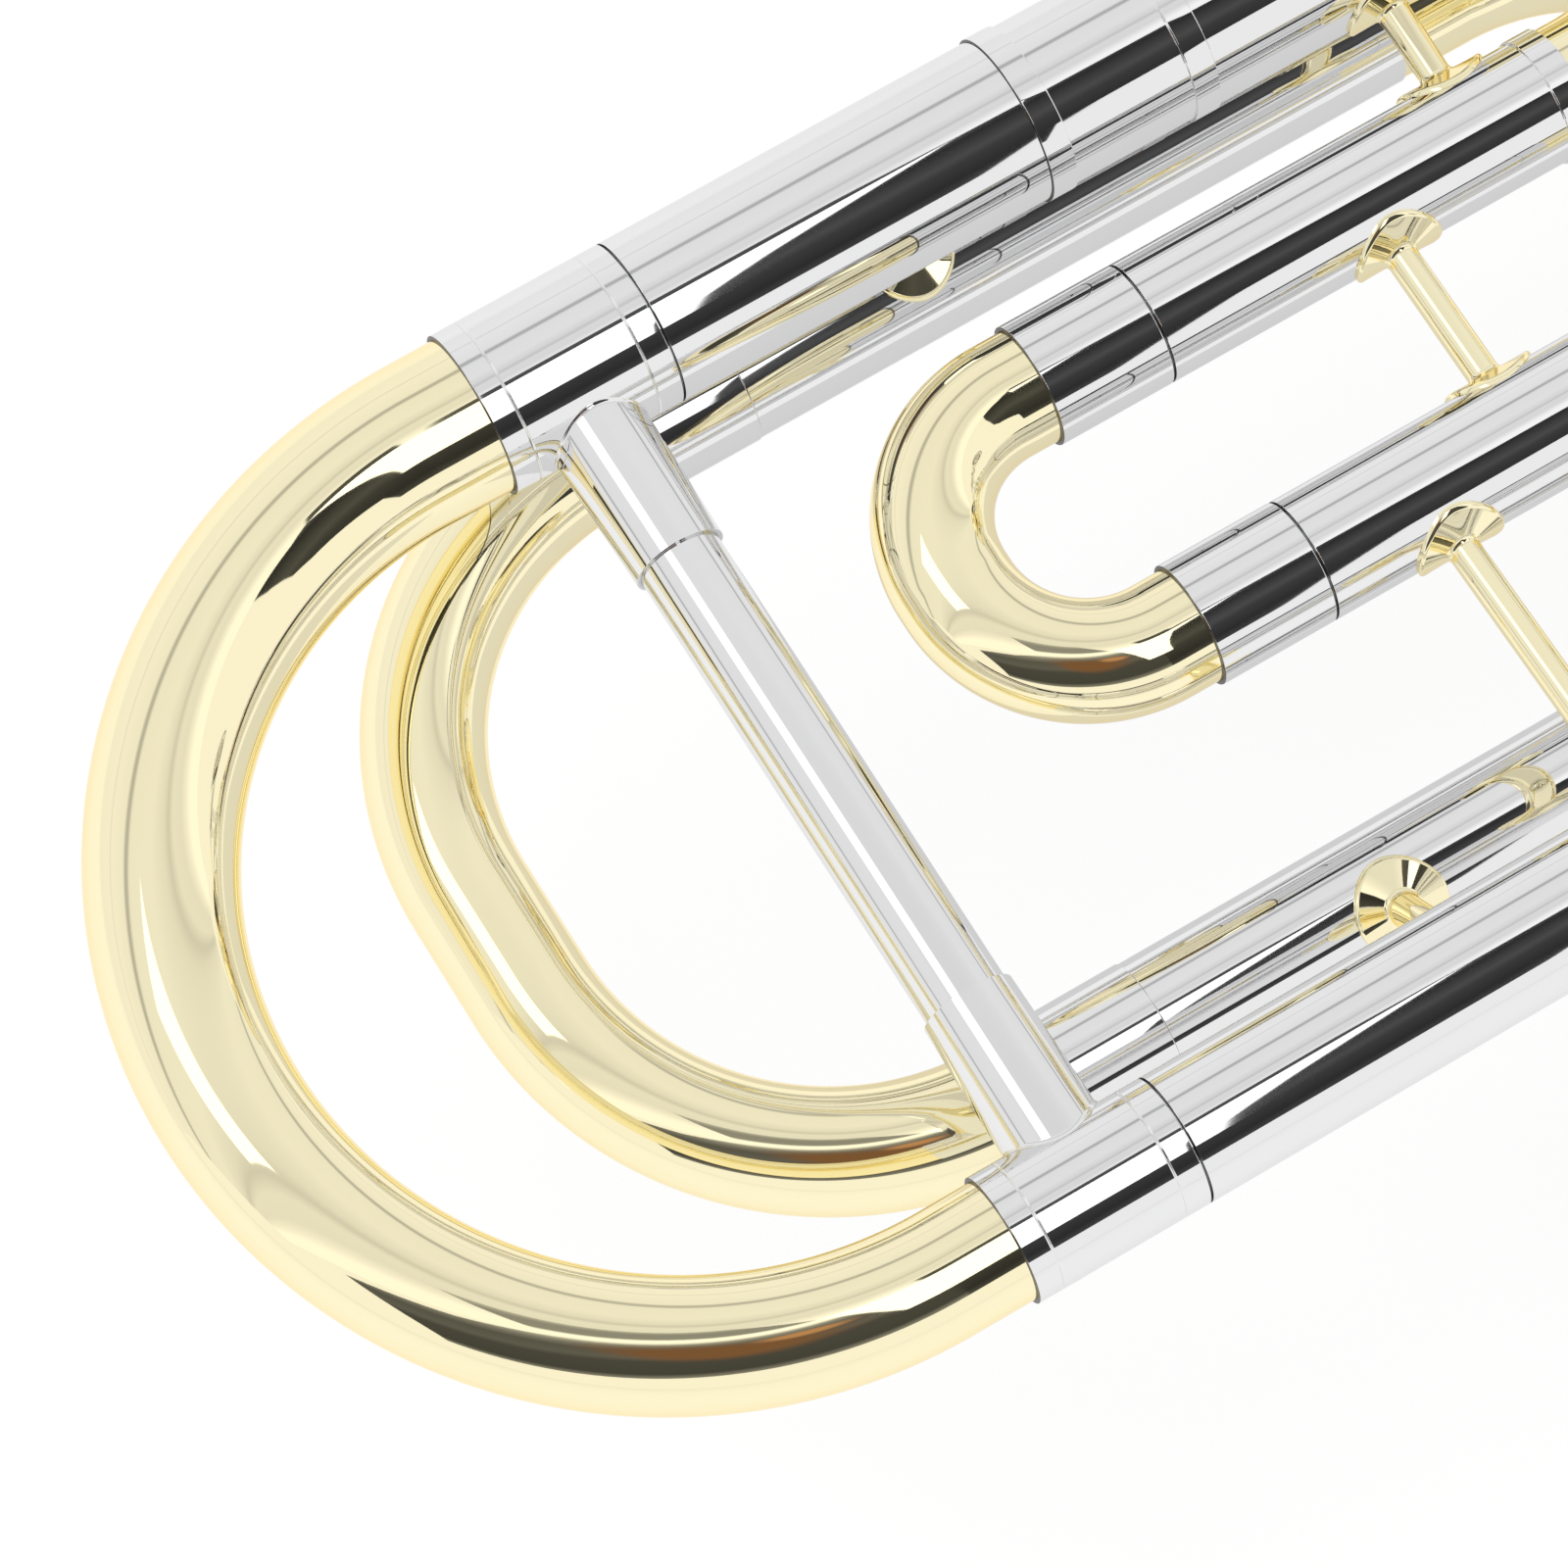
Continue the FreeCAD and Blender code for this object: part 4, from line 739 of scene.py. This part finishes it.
class TROMBONE_OT_main_tuning_slide(PieceOperator, bpy.types.Operator):
    """Build the main tuning slide: tapered bow, ferrules, legs and brace"""
    bl_idname = "trombone.main_tuning_slide"
    bl_label = "Main tuning slide"

    def execute(self, context):
        low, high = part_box("main_tuning_bow")
        wide, narrow = high.z, -low.y
        self.tapered_bow(low, high, wide, narrow)
        low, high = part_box("main_bow_ferrules")
        bell_radius, neck_radius = high.z, -low.y
        bm = turned(ferrule_outline(low.x, high.x, bell_radius, wide), bell_line)
        add_to(bm, turned(ferrule_outline(low.x, high.x, neck_radius, narrow), neck_line))
        # The ferrules' end faces get painted joint shade
        like_node(paint_joint_shade(bm), "main_bow_ferrules")
        lathed_node("main_slide_legs", [neck_line, bell_line])
        self.brace(bell_radius, neck_radius)
        return {"FINISHED"}

    def tapered_bow(self, low, high, wide, narrow):
        """A swept bow whose rings shrink from the bell leg's radius to the neck leg's."""
        bend = bell_line.y / 2
        back = low.x + bend + (wide + narrow) / 2
        steps = [(high.x - back,), (bend, Z, math.pi), (high.x - back,)]
        bm = swept(steps, on_line(bell_line, high.x), -X, wide)
        centre = Vector((back, bend, 0))
        for v in bm.verts:
            away = v.co - centre
            if away.x > 0:
                share = 0 if away.y > 0 else 1
                line = Vector((v.co.x, 2 * bend * (1 - share), 0))
            else:
                share = 0.5 - math.atan2(away.y, -away.x) / math.pi
                line = centre + Matrix.Rotation(share * math.pi, 3, Z) @ Y * bend
            v.co = line + (v.co - line) * (1 + (narrow / wide - 1) * share)
        like_node(bm, "main_tuning_bow")

    def brace(self, bell_radius, neck_radius):
        s = shape()
        low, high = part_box("main_brace_tube")
        x = (low.x + high.x) / 2
        radius = (high.x - low.x) / 2
        bore = radius - s.tube_wall
        bm = turned([(low.y, bore), (low.y, radius), (high.y, radius), (high.y, bore)],
                    Vector((x, 0, 0)), along=Y)
        like_node(bm, "main_brace_tube")
        low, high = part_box("main_brace_sockets")
        outer = (high.x - low.x) / 2
        outline = [(-SUNK, radius - MM), (-SUNK, outer + s.fillet),
                   (0.1 * MM, outer + 0.8 * s.fillet),
                   (0.5 * s.fillet, outer + 0.3 * s.fillet), (1.6 * s.fillet, outer),
                   (s.socket_reach, outer - s.socket_flare), (s.socket_reach, radius),
                   (s.socket_reach - MM, radius)]
        bm = bmesh.new()
        for line, leg, towards in ((neck_line, neck_radius, Y), (bell_line, bell_radius, -Y)):
            base = on_line(line, x) + towards * leg
            part = seated(turned(outline, base, towards, X), base, towards, leg, SOCKET_LEAN)
            # The sockets' end faces get a fainter painted joint shade
            add_to(bm, paint_joint_shade(part, towards, shade_amount=0.2))
        like_node(bm, "main_brace_sockets")


class TROMBONE_OT_sleeves(PieceOperator, bpy.types.Operator):
    """Build the straight sleeves, tubes and ferrules of the bell section"""
    bl_idname = "trombone.sleeves"
    bl_label = "Sleeves and ferrules"

    def execute(self, context):
        for node, lines in (("bell_side_sleeve", [bell_line]), ("banded_ferrule", [bell_line]),
                            ("bell_tail_tube", [bell_line]), ("neck_side_sleeve", [neck_line]),
                            ("rear_neck_tube", [neck_line]), ("front_neck_tube", [neck_line]),
                            ("slide_receiver", [neck_line]),
                            ("f_loop_lower_tube", [loop_low]),
                            ("f_loop_upper_tube", [loop_high]),
                            ("f_loop_ferrules", [loop_low, loop_high]),
                            ("f_slide_sleeves", [slide_f_low, slide_f_high]),
                            ("f_bow_ferrules", [slide_f_low, slide_f_high]),
                            ("f_slide_legs", [slide_f_low, slide_f_high])):
            lathed_node(node, lines, reach=TUBE_REACH)
        return {"FINISHED"}


class TROMBONE_OT_bows(PieceOperator, bpy.types.Operator):
    """Build the bows of the F loop, of the F slide and of the hand slide"""
    bl_idname = "trombone.bows"
    bl_label = "Bows"

    def execute(self, context):
        for node, low_line, high_line, share in (
                ("f_loop_bow", loop_low, loop_high, shape().loop_corner),
                ("f_tuning_bow", slide_f_low, slide_f_high, shape().f_corner)):
            low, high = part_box(node)
            radius = half_height(node)
            corner = (high_line - low_line).length / 2 * share
            lead = high.x - low.x - radius - corner
            bm = swept(return_steps(low_line, high_line, corner, lead),
                       on_line(low_line, high.x), -X, radius)
            like_node(bm, node)
        self.front_bows()
        self.s_bend()
        self.crook()
        return {"FINISHED"}

    def front_bows(self):
        """The half-round bows at the front, whose second end may reach farther back."""
        radius, straight = shape().bow_radius, shape().front_straight
        for node, near_line, far_line in (("f_lower_front_bow", loop_low, rotor_port),
                                          ("f_upper_front_bow", slide_f_high, loop_high)):
            low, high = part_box(node)
            across = far_line - near_line
            bend = across.length / 2
            start = high.x - radius - bend - straight
            end = max(straight, start + straight - low.x)
            bm = swept([(straight,), (bend, X.cross(across).normalized(), math.pi), (end,)],
                       on_line(near_line, start), X, radius)
            like_node(bm, node)

    def s_bend(self):
        low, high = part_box("f_s_bend")
        bend = shape().s_bend_turn
        shift = rotor_port - slide_f_low
        angle = math.acos(1 - shift.length / (2 * bend))
        axis = X.cross(shift).normalized()
        lead = (high.x - low.x - 2 * bend * math.sin(angle)) / 2
        bm = swept([(lead,), (bend, axis, angle), (bend, -axis, angle), (lead,)],
                   on_line(slide_f_low, low.x), X, shape().bow_radius)
        like_node(bm, "f_s_bend")

    def crook(self):
        low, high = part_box("slide_crook")
        radius = (high.y - low.y) / 2
        bend = hand_high.z / 2
        lead = high.x - low.x - radius - bend
        bm = swept([(lead,), (bend, -Y, math.pi), (lead,)], on_line(hand_low, low.x), X, radius)
        like_node(bm, "slide_crook")


class TROMBONE_OT_bell(PieceOperator, bpy.types.Operator):
    """Spin the bell with its flare and rolled rim"""
    bl_idname = "trombone.bell"
    bl_label = "Bell"

    def execute(self, context):
        low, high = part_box("bell")
        wire, wall, power = shape().rim_wire, shape().bell_wall, shape().bell_power
        rim = min(high.z, -low.z) - wire
        reach = high.x - wire
        small = half_height("bell_tail_tube") - shape().bell_step
        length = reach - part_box("bell_tail_tube")[1].x
        start = length / ((rim / small) ** (1 / power) - 1)
        outside = []
        inside = []
        for n in range(BELL_STATIONS):
            distance = length * (n / (BELL_STATIONS - 1)) ** BELL_SPACING
            radius = rim * (start / (distance + start)) ** power
            slope = -power * radius / (distance + start)
            lean = math.hypot(1, slope)
            outside.append((reach - distance, radius))
            inside.append((reach - distance - slope / lean * wall, radius - wall / lean))
        bead = [(reach + wire * math.sin(a), rim + wire * math.cos(a))
                for a in (math.radians(d) for d in range(-60, 205, 15))]
        # The flare's first rings would lie inside the bead
        outline = [(low.x, small), *reversed(outside[3:]), *bead, *inside[4:],
                   (low.x, inside[-1][1])]
        bm = spun(outline, bell_line, X, Z, sides=2 * shape().sides)
        like_node(bm, "bell", smooth=BELL_CREASE)
        return {"FINISHED"}


class TROMBONE_OT_braces(PieceOperator, bpy.types.Operator):
    """Build the flanged braces between the tubes of the bell section"""
    bl_idname = "trombone.braces"
    bl_label = "Braces"

    def execute(self, context):
        neck = (neck_line, half_height("neck_side_sleeve"))
        bell = (bell_line, half_height("bell_side_sleeve"))
        f_low, f_high = ((line, half_height("f_bow_ferrules"))
                         for line in (slide_f_low, slide_f_high))
        upper = (loop_high, half_height("f_loop_upper_tube"))
        lower = (loop_low, half_height("f_loop_lower_tube"))
        for node, first, second in (("brace_f_slide_legs", f_low, f_high),
                                    ("brace_f_slide_to_neck", neck, f_low),
                                    ("brace_bell_to_f_slide", f_high, bell),
                                    ("brace_f_loop_to_bell", upper, bell),
                                    ("brace_f_loop_to_neck", lower, neck)):
            flanged_brace(node, first, second)
        copied_node("bell_brace")
        return {"FINISHED"}


class TROMBONE_OT_valve(PieceOperator, bpy.types.Operator):
    """Build the rotor valve, its stops, link and thumb lever"""
    bl_idname = "trombone.valve"
    bl_label = "Valve and lever"

    def execute(self, context):
        for node in ("rotor_casing", "rotor", "stop_arm", "link_rod", "thumb_lever",
                     "lever_bracket", "lever_spring"):
            copied_node(node)
        for node, centre in (("rotor_bearing_plate", rotor_middle), ("rotor_cap", rotor_middle),
                             ("lever_hinge_rod", middle("lever_hinge_rod"))):
            lathed_node(node, [Vector((*centre.xy, 0))], along=Z, across=X, joints=False)
        copied_node("stop_bumpers", edge=0.3 * MM)
        return {"FINISHED"}


class TROMBONE_OT_hand_slide(PieceOperator, bpy.types.Operator):
    """Build the hand slide with its braces, barrels, lock and bumper"""
    bl_idname = "trombone.hand_slide"
    bl_label = "Hand slide"

    def execute(self, context):
        both = [hand_low, hand_high]
        for node, lines in (("slide_tenon", [hand_low]), ("inner_slide_tubes", both),
                            ("cork_barrels", both), ("lead_pipe", [hand_high]),
                            ("mouthpiece_socket", [hand_high]), ("outer_slide_tubes", both),
                            ("crook_ferrules", both),
                            ("rubber_bumper", [(hand_low + hand_high) / 2])):
            lathed_node(node, lines, across=-Y if node == "rubber_bumper" else Z,
                        reach=TUBE_REACH, joints=False)
        for node in ("inner_slide_brace", "outer_slide_brace", "slide_lock_nut",
                     "slide_lock_ring", "bumper_socket", "water_key_seat", "water_key_lever",
                     "water_key_spring", "water_key_cork"):
            copied_node(node)
        return {"FINISHED"}


class TROMBONE_OT_mouthpiece(PieceOperator, bpy.types.Operator):
    """Build the mouthpiece"""
    bl_idname = "trombone.mouthpiece"
    bl_label = "Mouthpiece"

    def execute(self, context):
        lathed_node("mouthpiece", [hand_high], joints=False)
        return {"FINISHED"}


class TROMBONE_OT_studio(PieceOperator, bpy.types.Operator):
    """Set up the floor, the light, the screens that the metal reflects and the camera"""
    bl_idname = "trombone.studio"
    bl_label = "Studio"

    def execute(self, context):
        self.world()
        self.floor()
        self.cards()
        self.lights()
        self.camera()
        context.scene.view_settings.view_transform = "Standard"
        return {"FINISHED"}

    def looked_at(self, tree):
        """One where the camera, gloss or glass looks, and zero for the light of other rays."""
        path = new_node(tree, "LightPath")
        return math_node(tree, "MAXIMUM", path.outputs["Is Camera Ray"],
                         math_node(tree, "MAXIMUM", path.outputs["Is Glossy Ray"],
                                   path.outputs["Is Transmission Ray"]))

    def world(self):
        world = bpy.data.worlds.new("studio")
        bpy.context.scene.world = world
        world.use_nodes = True
        tree = world.node_tree
        tree.nodes.clear()
        output = new_node(tree, "OutputWorld")
        levels = []
        for colour, strength in ((PALE_GREY, WORLD_LEVEL), (WHITE, 1)):
            node = new_node(tree, "Background", {"Color": colour, "Strength": strength})
            levels.append(node.outputs[0])
        tree.links.new(mixed_shader(tree, self.looked_at(tree), *levels),
                       output.inputs["Surface"])

    def floor(self):
        bm = bmesh.new()
        bmesh.ops.create_grid(bm, x_segments=1, y_segments=1, size=studio().floor_half)
        bmesh.ops.translate(bm, verts=bm.verts, vec=(0, 0, cad_bounds[0][2] - FLOOR_DROP))
        material, tree, shader = new_material("floor")
        set_values(shader, {"Base Color": PALE_GREY, "Roughness": 0.9,
                            "Specular IOR Level": 0.1})
        glow = new_node(tree, "Emission", {"Color": WHITE})
        share = math_node(tree, "MULTIPLY", self.looked_at(tree), FLOOR_GLOW)
        tree.links.new(mixed_shader(tree, share, shader.outputs[0], glow.outputs[0]),
                       tree.nodes["Material Output"].inputs["Surface"])
        placed(bm, "floor", material)

    def cards(self):
        """Curved screens behind the camera that polished metal shows as grey and dark bands, and
        a card of painted floor shade under the tubes.
        """
        if studio().show_screens:
            self.screen("pale_screen", PALE_OUTLINE, PALE_BANDS, 0)
            self.screen("dark_screen", DARK_OUTLINE, DARK_BANDS, 1)
            self.screen("dim_screen", DIM_OUTLINE, DIM_BANDS, 1, spots=WARM_SPOTS)
            self.screen("wedge_card", WEDGE_OUTLINE, BRIGHT_BANDS, 2)
            self.screen("stripe_card", STRIPE_OUTLINE, BRIGHT_BANDS, 2)
            self.floor_shade_card()

    def floor_shade_card(self):
        """A flat grey card under the tubes, painted shade that stands for the shadowed floor they
        show.
        """
        (left, near), (right, far) = FLOOR_SHADE_CARD
        bm = bmesh.new()
        place = Matrix.Translation(((left + right) / 2, (near + far) / 2, -FLOOR_SHADE_DROP))
        size = Matrix.Diagonal(((right - left) / 2, (far - near) / 2, 1, 1))
        bmesh.ops.create_grid(bm, x_segments=1, y_segments=1, size=1, matrix=place @ size)
        finish = self.screen_finish("floor_shade_card", 0, 1, ((0, FLOOR_SHADE_LEVEL),), ())
        self.reflected_only(bm, "floor_shade_card", finish)

    def screen(self, name, outline, bands, layer, spots=()):
        """A curved card between the outline's edges; a higher layer lies nearer the metal."""
        low, high = math.radians(outline[0][0]), math.radians(outline[-1][0])
        radius = SCREEN_RADIUS - SCREEN_STEP * layer
        bm = bmesh.new()
        ends = [bm.verts.new((side, radius, 0)) for side in (-1, 1)]
        edge = bm.edges.new(ends)
        bmesh.ops.rotate(bm, verts=ends, cent=(0, 0, 0), matrix=Matrix.Rotation(low, 3, X))
        revolved(bm, ends + [edge], (0, 0, 0), X, high - low, SCREEN_FACES)
        for v in bm.verts:
            angle = math.degrees(math.atan2(v.co.z, v.co.y))
            after = next((n for n, row in enumerate(outline) if row[0] >= angle),
                         len(outline) - 1)
            first, second = outline[max(after, 1) - 1], outline[max(after, 1)]
            share = (angle - first[0]) / (second[0] - first[0])
            side = 1 if v.co.x < 0 else 2
            v.co.x = first[side] + (second[side] - first[side]) * share
        finish = self.screen_finish(name, low, high, bands, spots)
        self.reflected_only(bm, name, finish).location = SCREEN_CENTRE

    def reflected_only(self, bm, name, finish):
        """Makes a card that only the metal sees."""
        card = placed(bm, name, finish)
        for ray in ("camera", "diffuse", "shadow", "transmission", "volume_scatter"):
            setattr(card, "visible_" + ray, False)
        return card

    def screen_finish(self, name, low, high, bands, spots):
        """Bands by the angle round the screen's axis, with soft spots on them."""
        material, tree, _ = new_material(name)
        tree.nodes.clear()
        place = object_place(tree)
        apart = new_node(tree, "SeparateXYZ")
        tree.links.new(place, apart.inputs[0])
        turn = math_node(tree, "ARCTAN2", apart.outputs["Z"], apart.outputs["Y"])
        share = math_node(tree, "DIVIDE", math_node(tree, "SUBTRACT", turn, low), high - low)
        ramp = new_node(tree, "ValToRGB")
        tree.links.new(share, ramp.inputs[0])
        stops = ramp.color_ramp.elements
        stops.remove(stops[-1])
        for n, (angle, level) in enumerate(bands):
            at = (math.radians(angle) - low) / (high - low)
            stop = stops.new(at) if n else stops[0]
            stop.position = at
            stop.color = (level, level, level, 1)
        colour = ramp.outputs[0]
        for (angle, slant, size), tint in spots:
            turned_by = math.radians(angle)
            centre = Vector((math.tan(math.radians(slant)), math.cos(turned_by),
                             math.sin(turned_by))) * SCREEN_RADIUS
            away = new_node(tree, "VectorMath")
            away.operation = "DISTANCE"
            away.inputs[1].default_value = centre
            tree.links.new(place, away.inputs[0])
            fade = new_node(tree, "MapRange", {"From Min": size, "From Max": size / 3})
            fade.interpolation_type = "SMOOTHSTEP"
            tree.links.new(away.outputs["Value"], fade.inputs["Value"])
            colour = mixed(tree, fade.outputs[0], colour, tint)
        glow = new_node(tree, "Emission")
        tree.links.new(colour, glow.inputs["Color"])
        output = new_node(tree, "OutputMaterial")
        tree.links.new(glow.outputs[0], output.inputs["Surface"])
        return material

    def lights(self):
        for name, place, size, power in SOFTBOXES:
            light = bpy.data.lights.new(name, "AREA")
            light.shape = "SQUARE"
            light.size = size
            light.energy = power
            lamp = added(name, light)
            lamp.location = place
            towards = LIT_PLACE - Vector(place)
            lamp.rotation_euler = towards.to_track_quat("-Z", "Y").to_euler()
            lamp.visible_glossy = False

    def camera(self):
        s = studio()
        data = bpy.data.cameras.new("camera")
        data.sensor_width = 36
        data.lens = s.lens
        data.clip_start = 0.01
        camera = added("camera", data)
        right = Vector(s.camera_right).normalized()
        back = -Vector(s.camera_forward).normalized()
        up = back.cross(right).normalized()
        place = Vector((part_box("bell_side_sleeve")[0].x, 0, 0)) + Vector(s.camera_offset)
        camera.matrix_world = Matrix(((right.x, up.x, back.x, place.x),
                                      (right.y, up.y, back.y, place.y),
                                      (right.z, up.z, back.z, place.z), (0, 0, 0, 1)))
        bpy.context.scene.camera = camera


class TROMBONE_PT_panel(bpy.types.Panel):
    """Lists the pieces of the trombone"""
    bl_idname = "TROMBONE_PT_panel"
    bl_label = "Tenor trombone"
    bl_space_type = "VIEW_3D"
    bl_region_type = "UI"
    bl_category = "Trombone"

    def draw(self, context):
        for operator in piece_operators:
            self.layout.operator(operator.bl_idname)
        for group in (shape(), colours(), studio()):
            box = self.layout.box()
            for name in group.bl_rna.properties.keys():
                if name not in {"rna_type", "name"}:
                    box.prop(group, name)


property_groups = {"trombone_shape": TromboneShape, "trombone_colours": TromboneColours,
                   "trombone_studio": TromboneStudio}
piece_operators = (TROMBONE_OT_studio, TROMBONE_OT_main_tuning_slide, TROMBONE_OT_sleeves,
                   TROMBONE_OT_bows, TROMBONE_OT_bell, TROMBONE_OT_braces, TROMBONE_OT_valve,
                   TROMBONE_OT_hand_slide, TROMBONE_OT_mouthpiece)


def register():
    for name, group in property_groups.items():
        bpy.utils.register_class(group)
        setattr(bpy.types.Scene, name, PointerProperty(type=group))
    for operator in piece_operators:
        bpy.utils.register_class(operator)
    bpy.utils.register_class(TROMBONE_PT_panel)


def unregister():
    bpy.utils.unregister_class(TROMBONE_PT_panel)
    for operator in reversed(piece_operators):
        bpy.utils.unregister_class(operator)
    for name, group in property_groups.items():
        delattr(bpy.types.Scene, name)
        bpy.utils.unregister_class(group)


def main():
    register()
    for operator in piece_operators:
        group, name = operator.bl_idname.split(".")
        getattr(getattr(bpy.ops, group), name)()


if __name__ == "__main__":
    main()
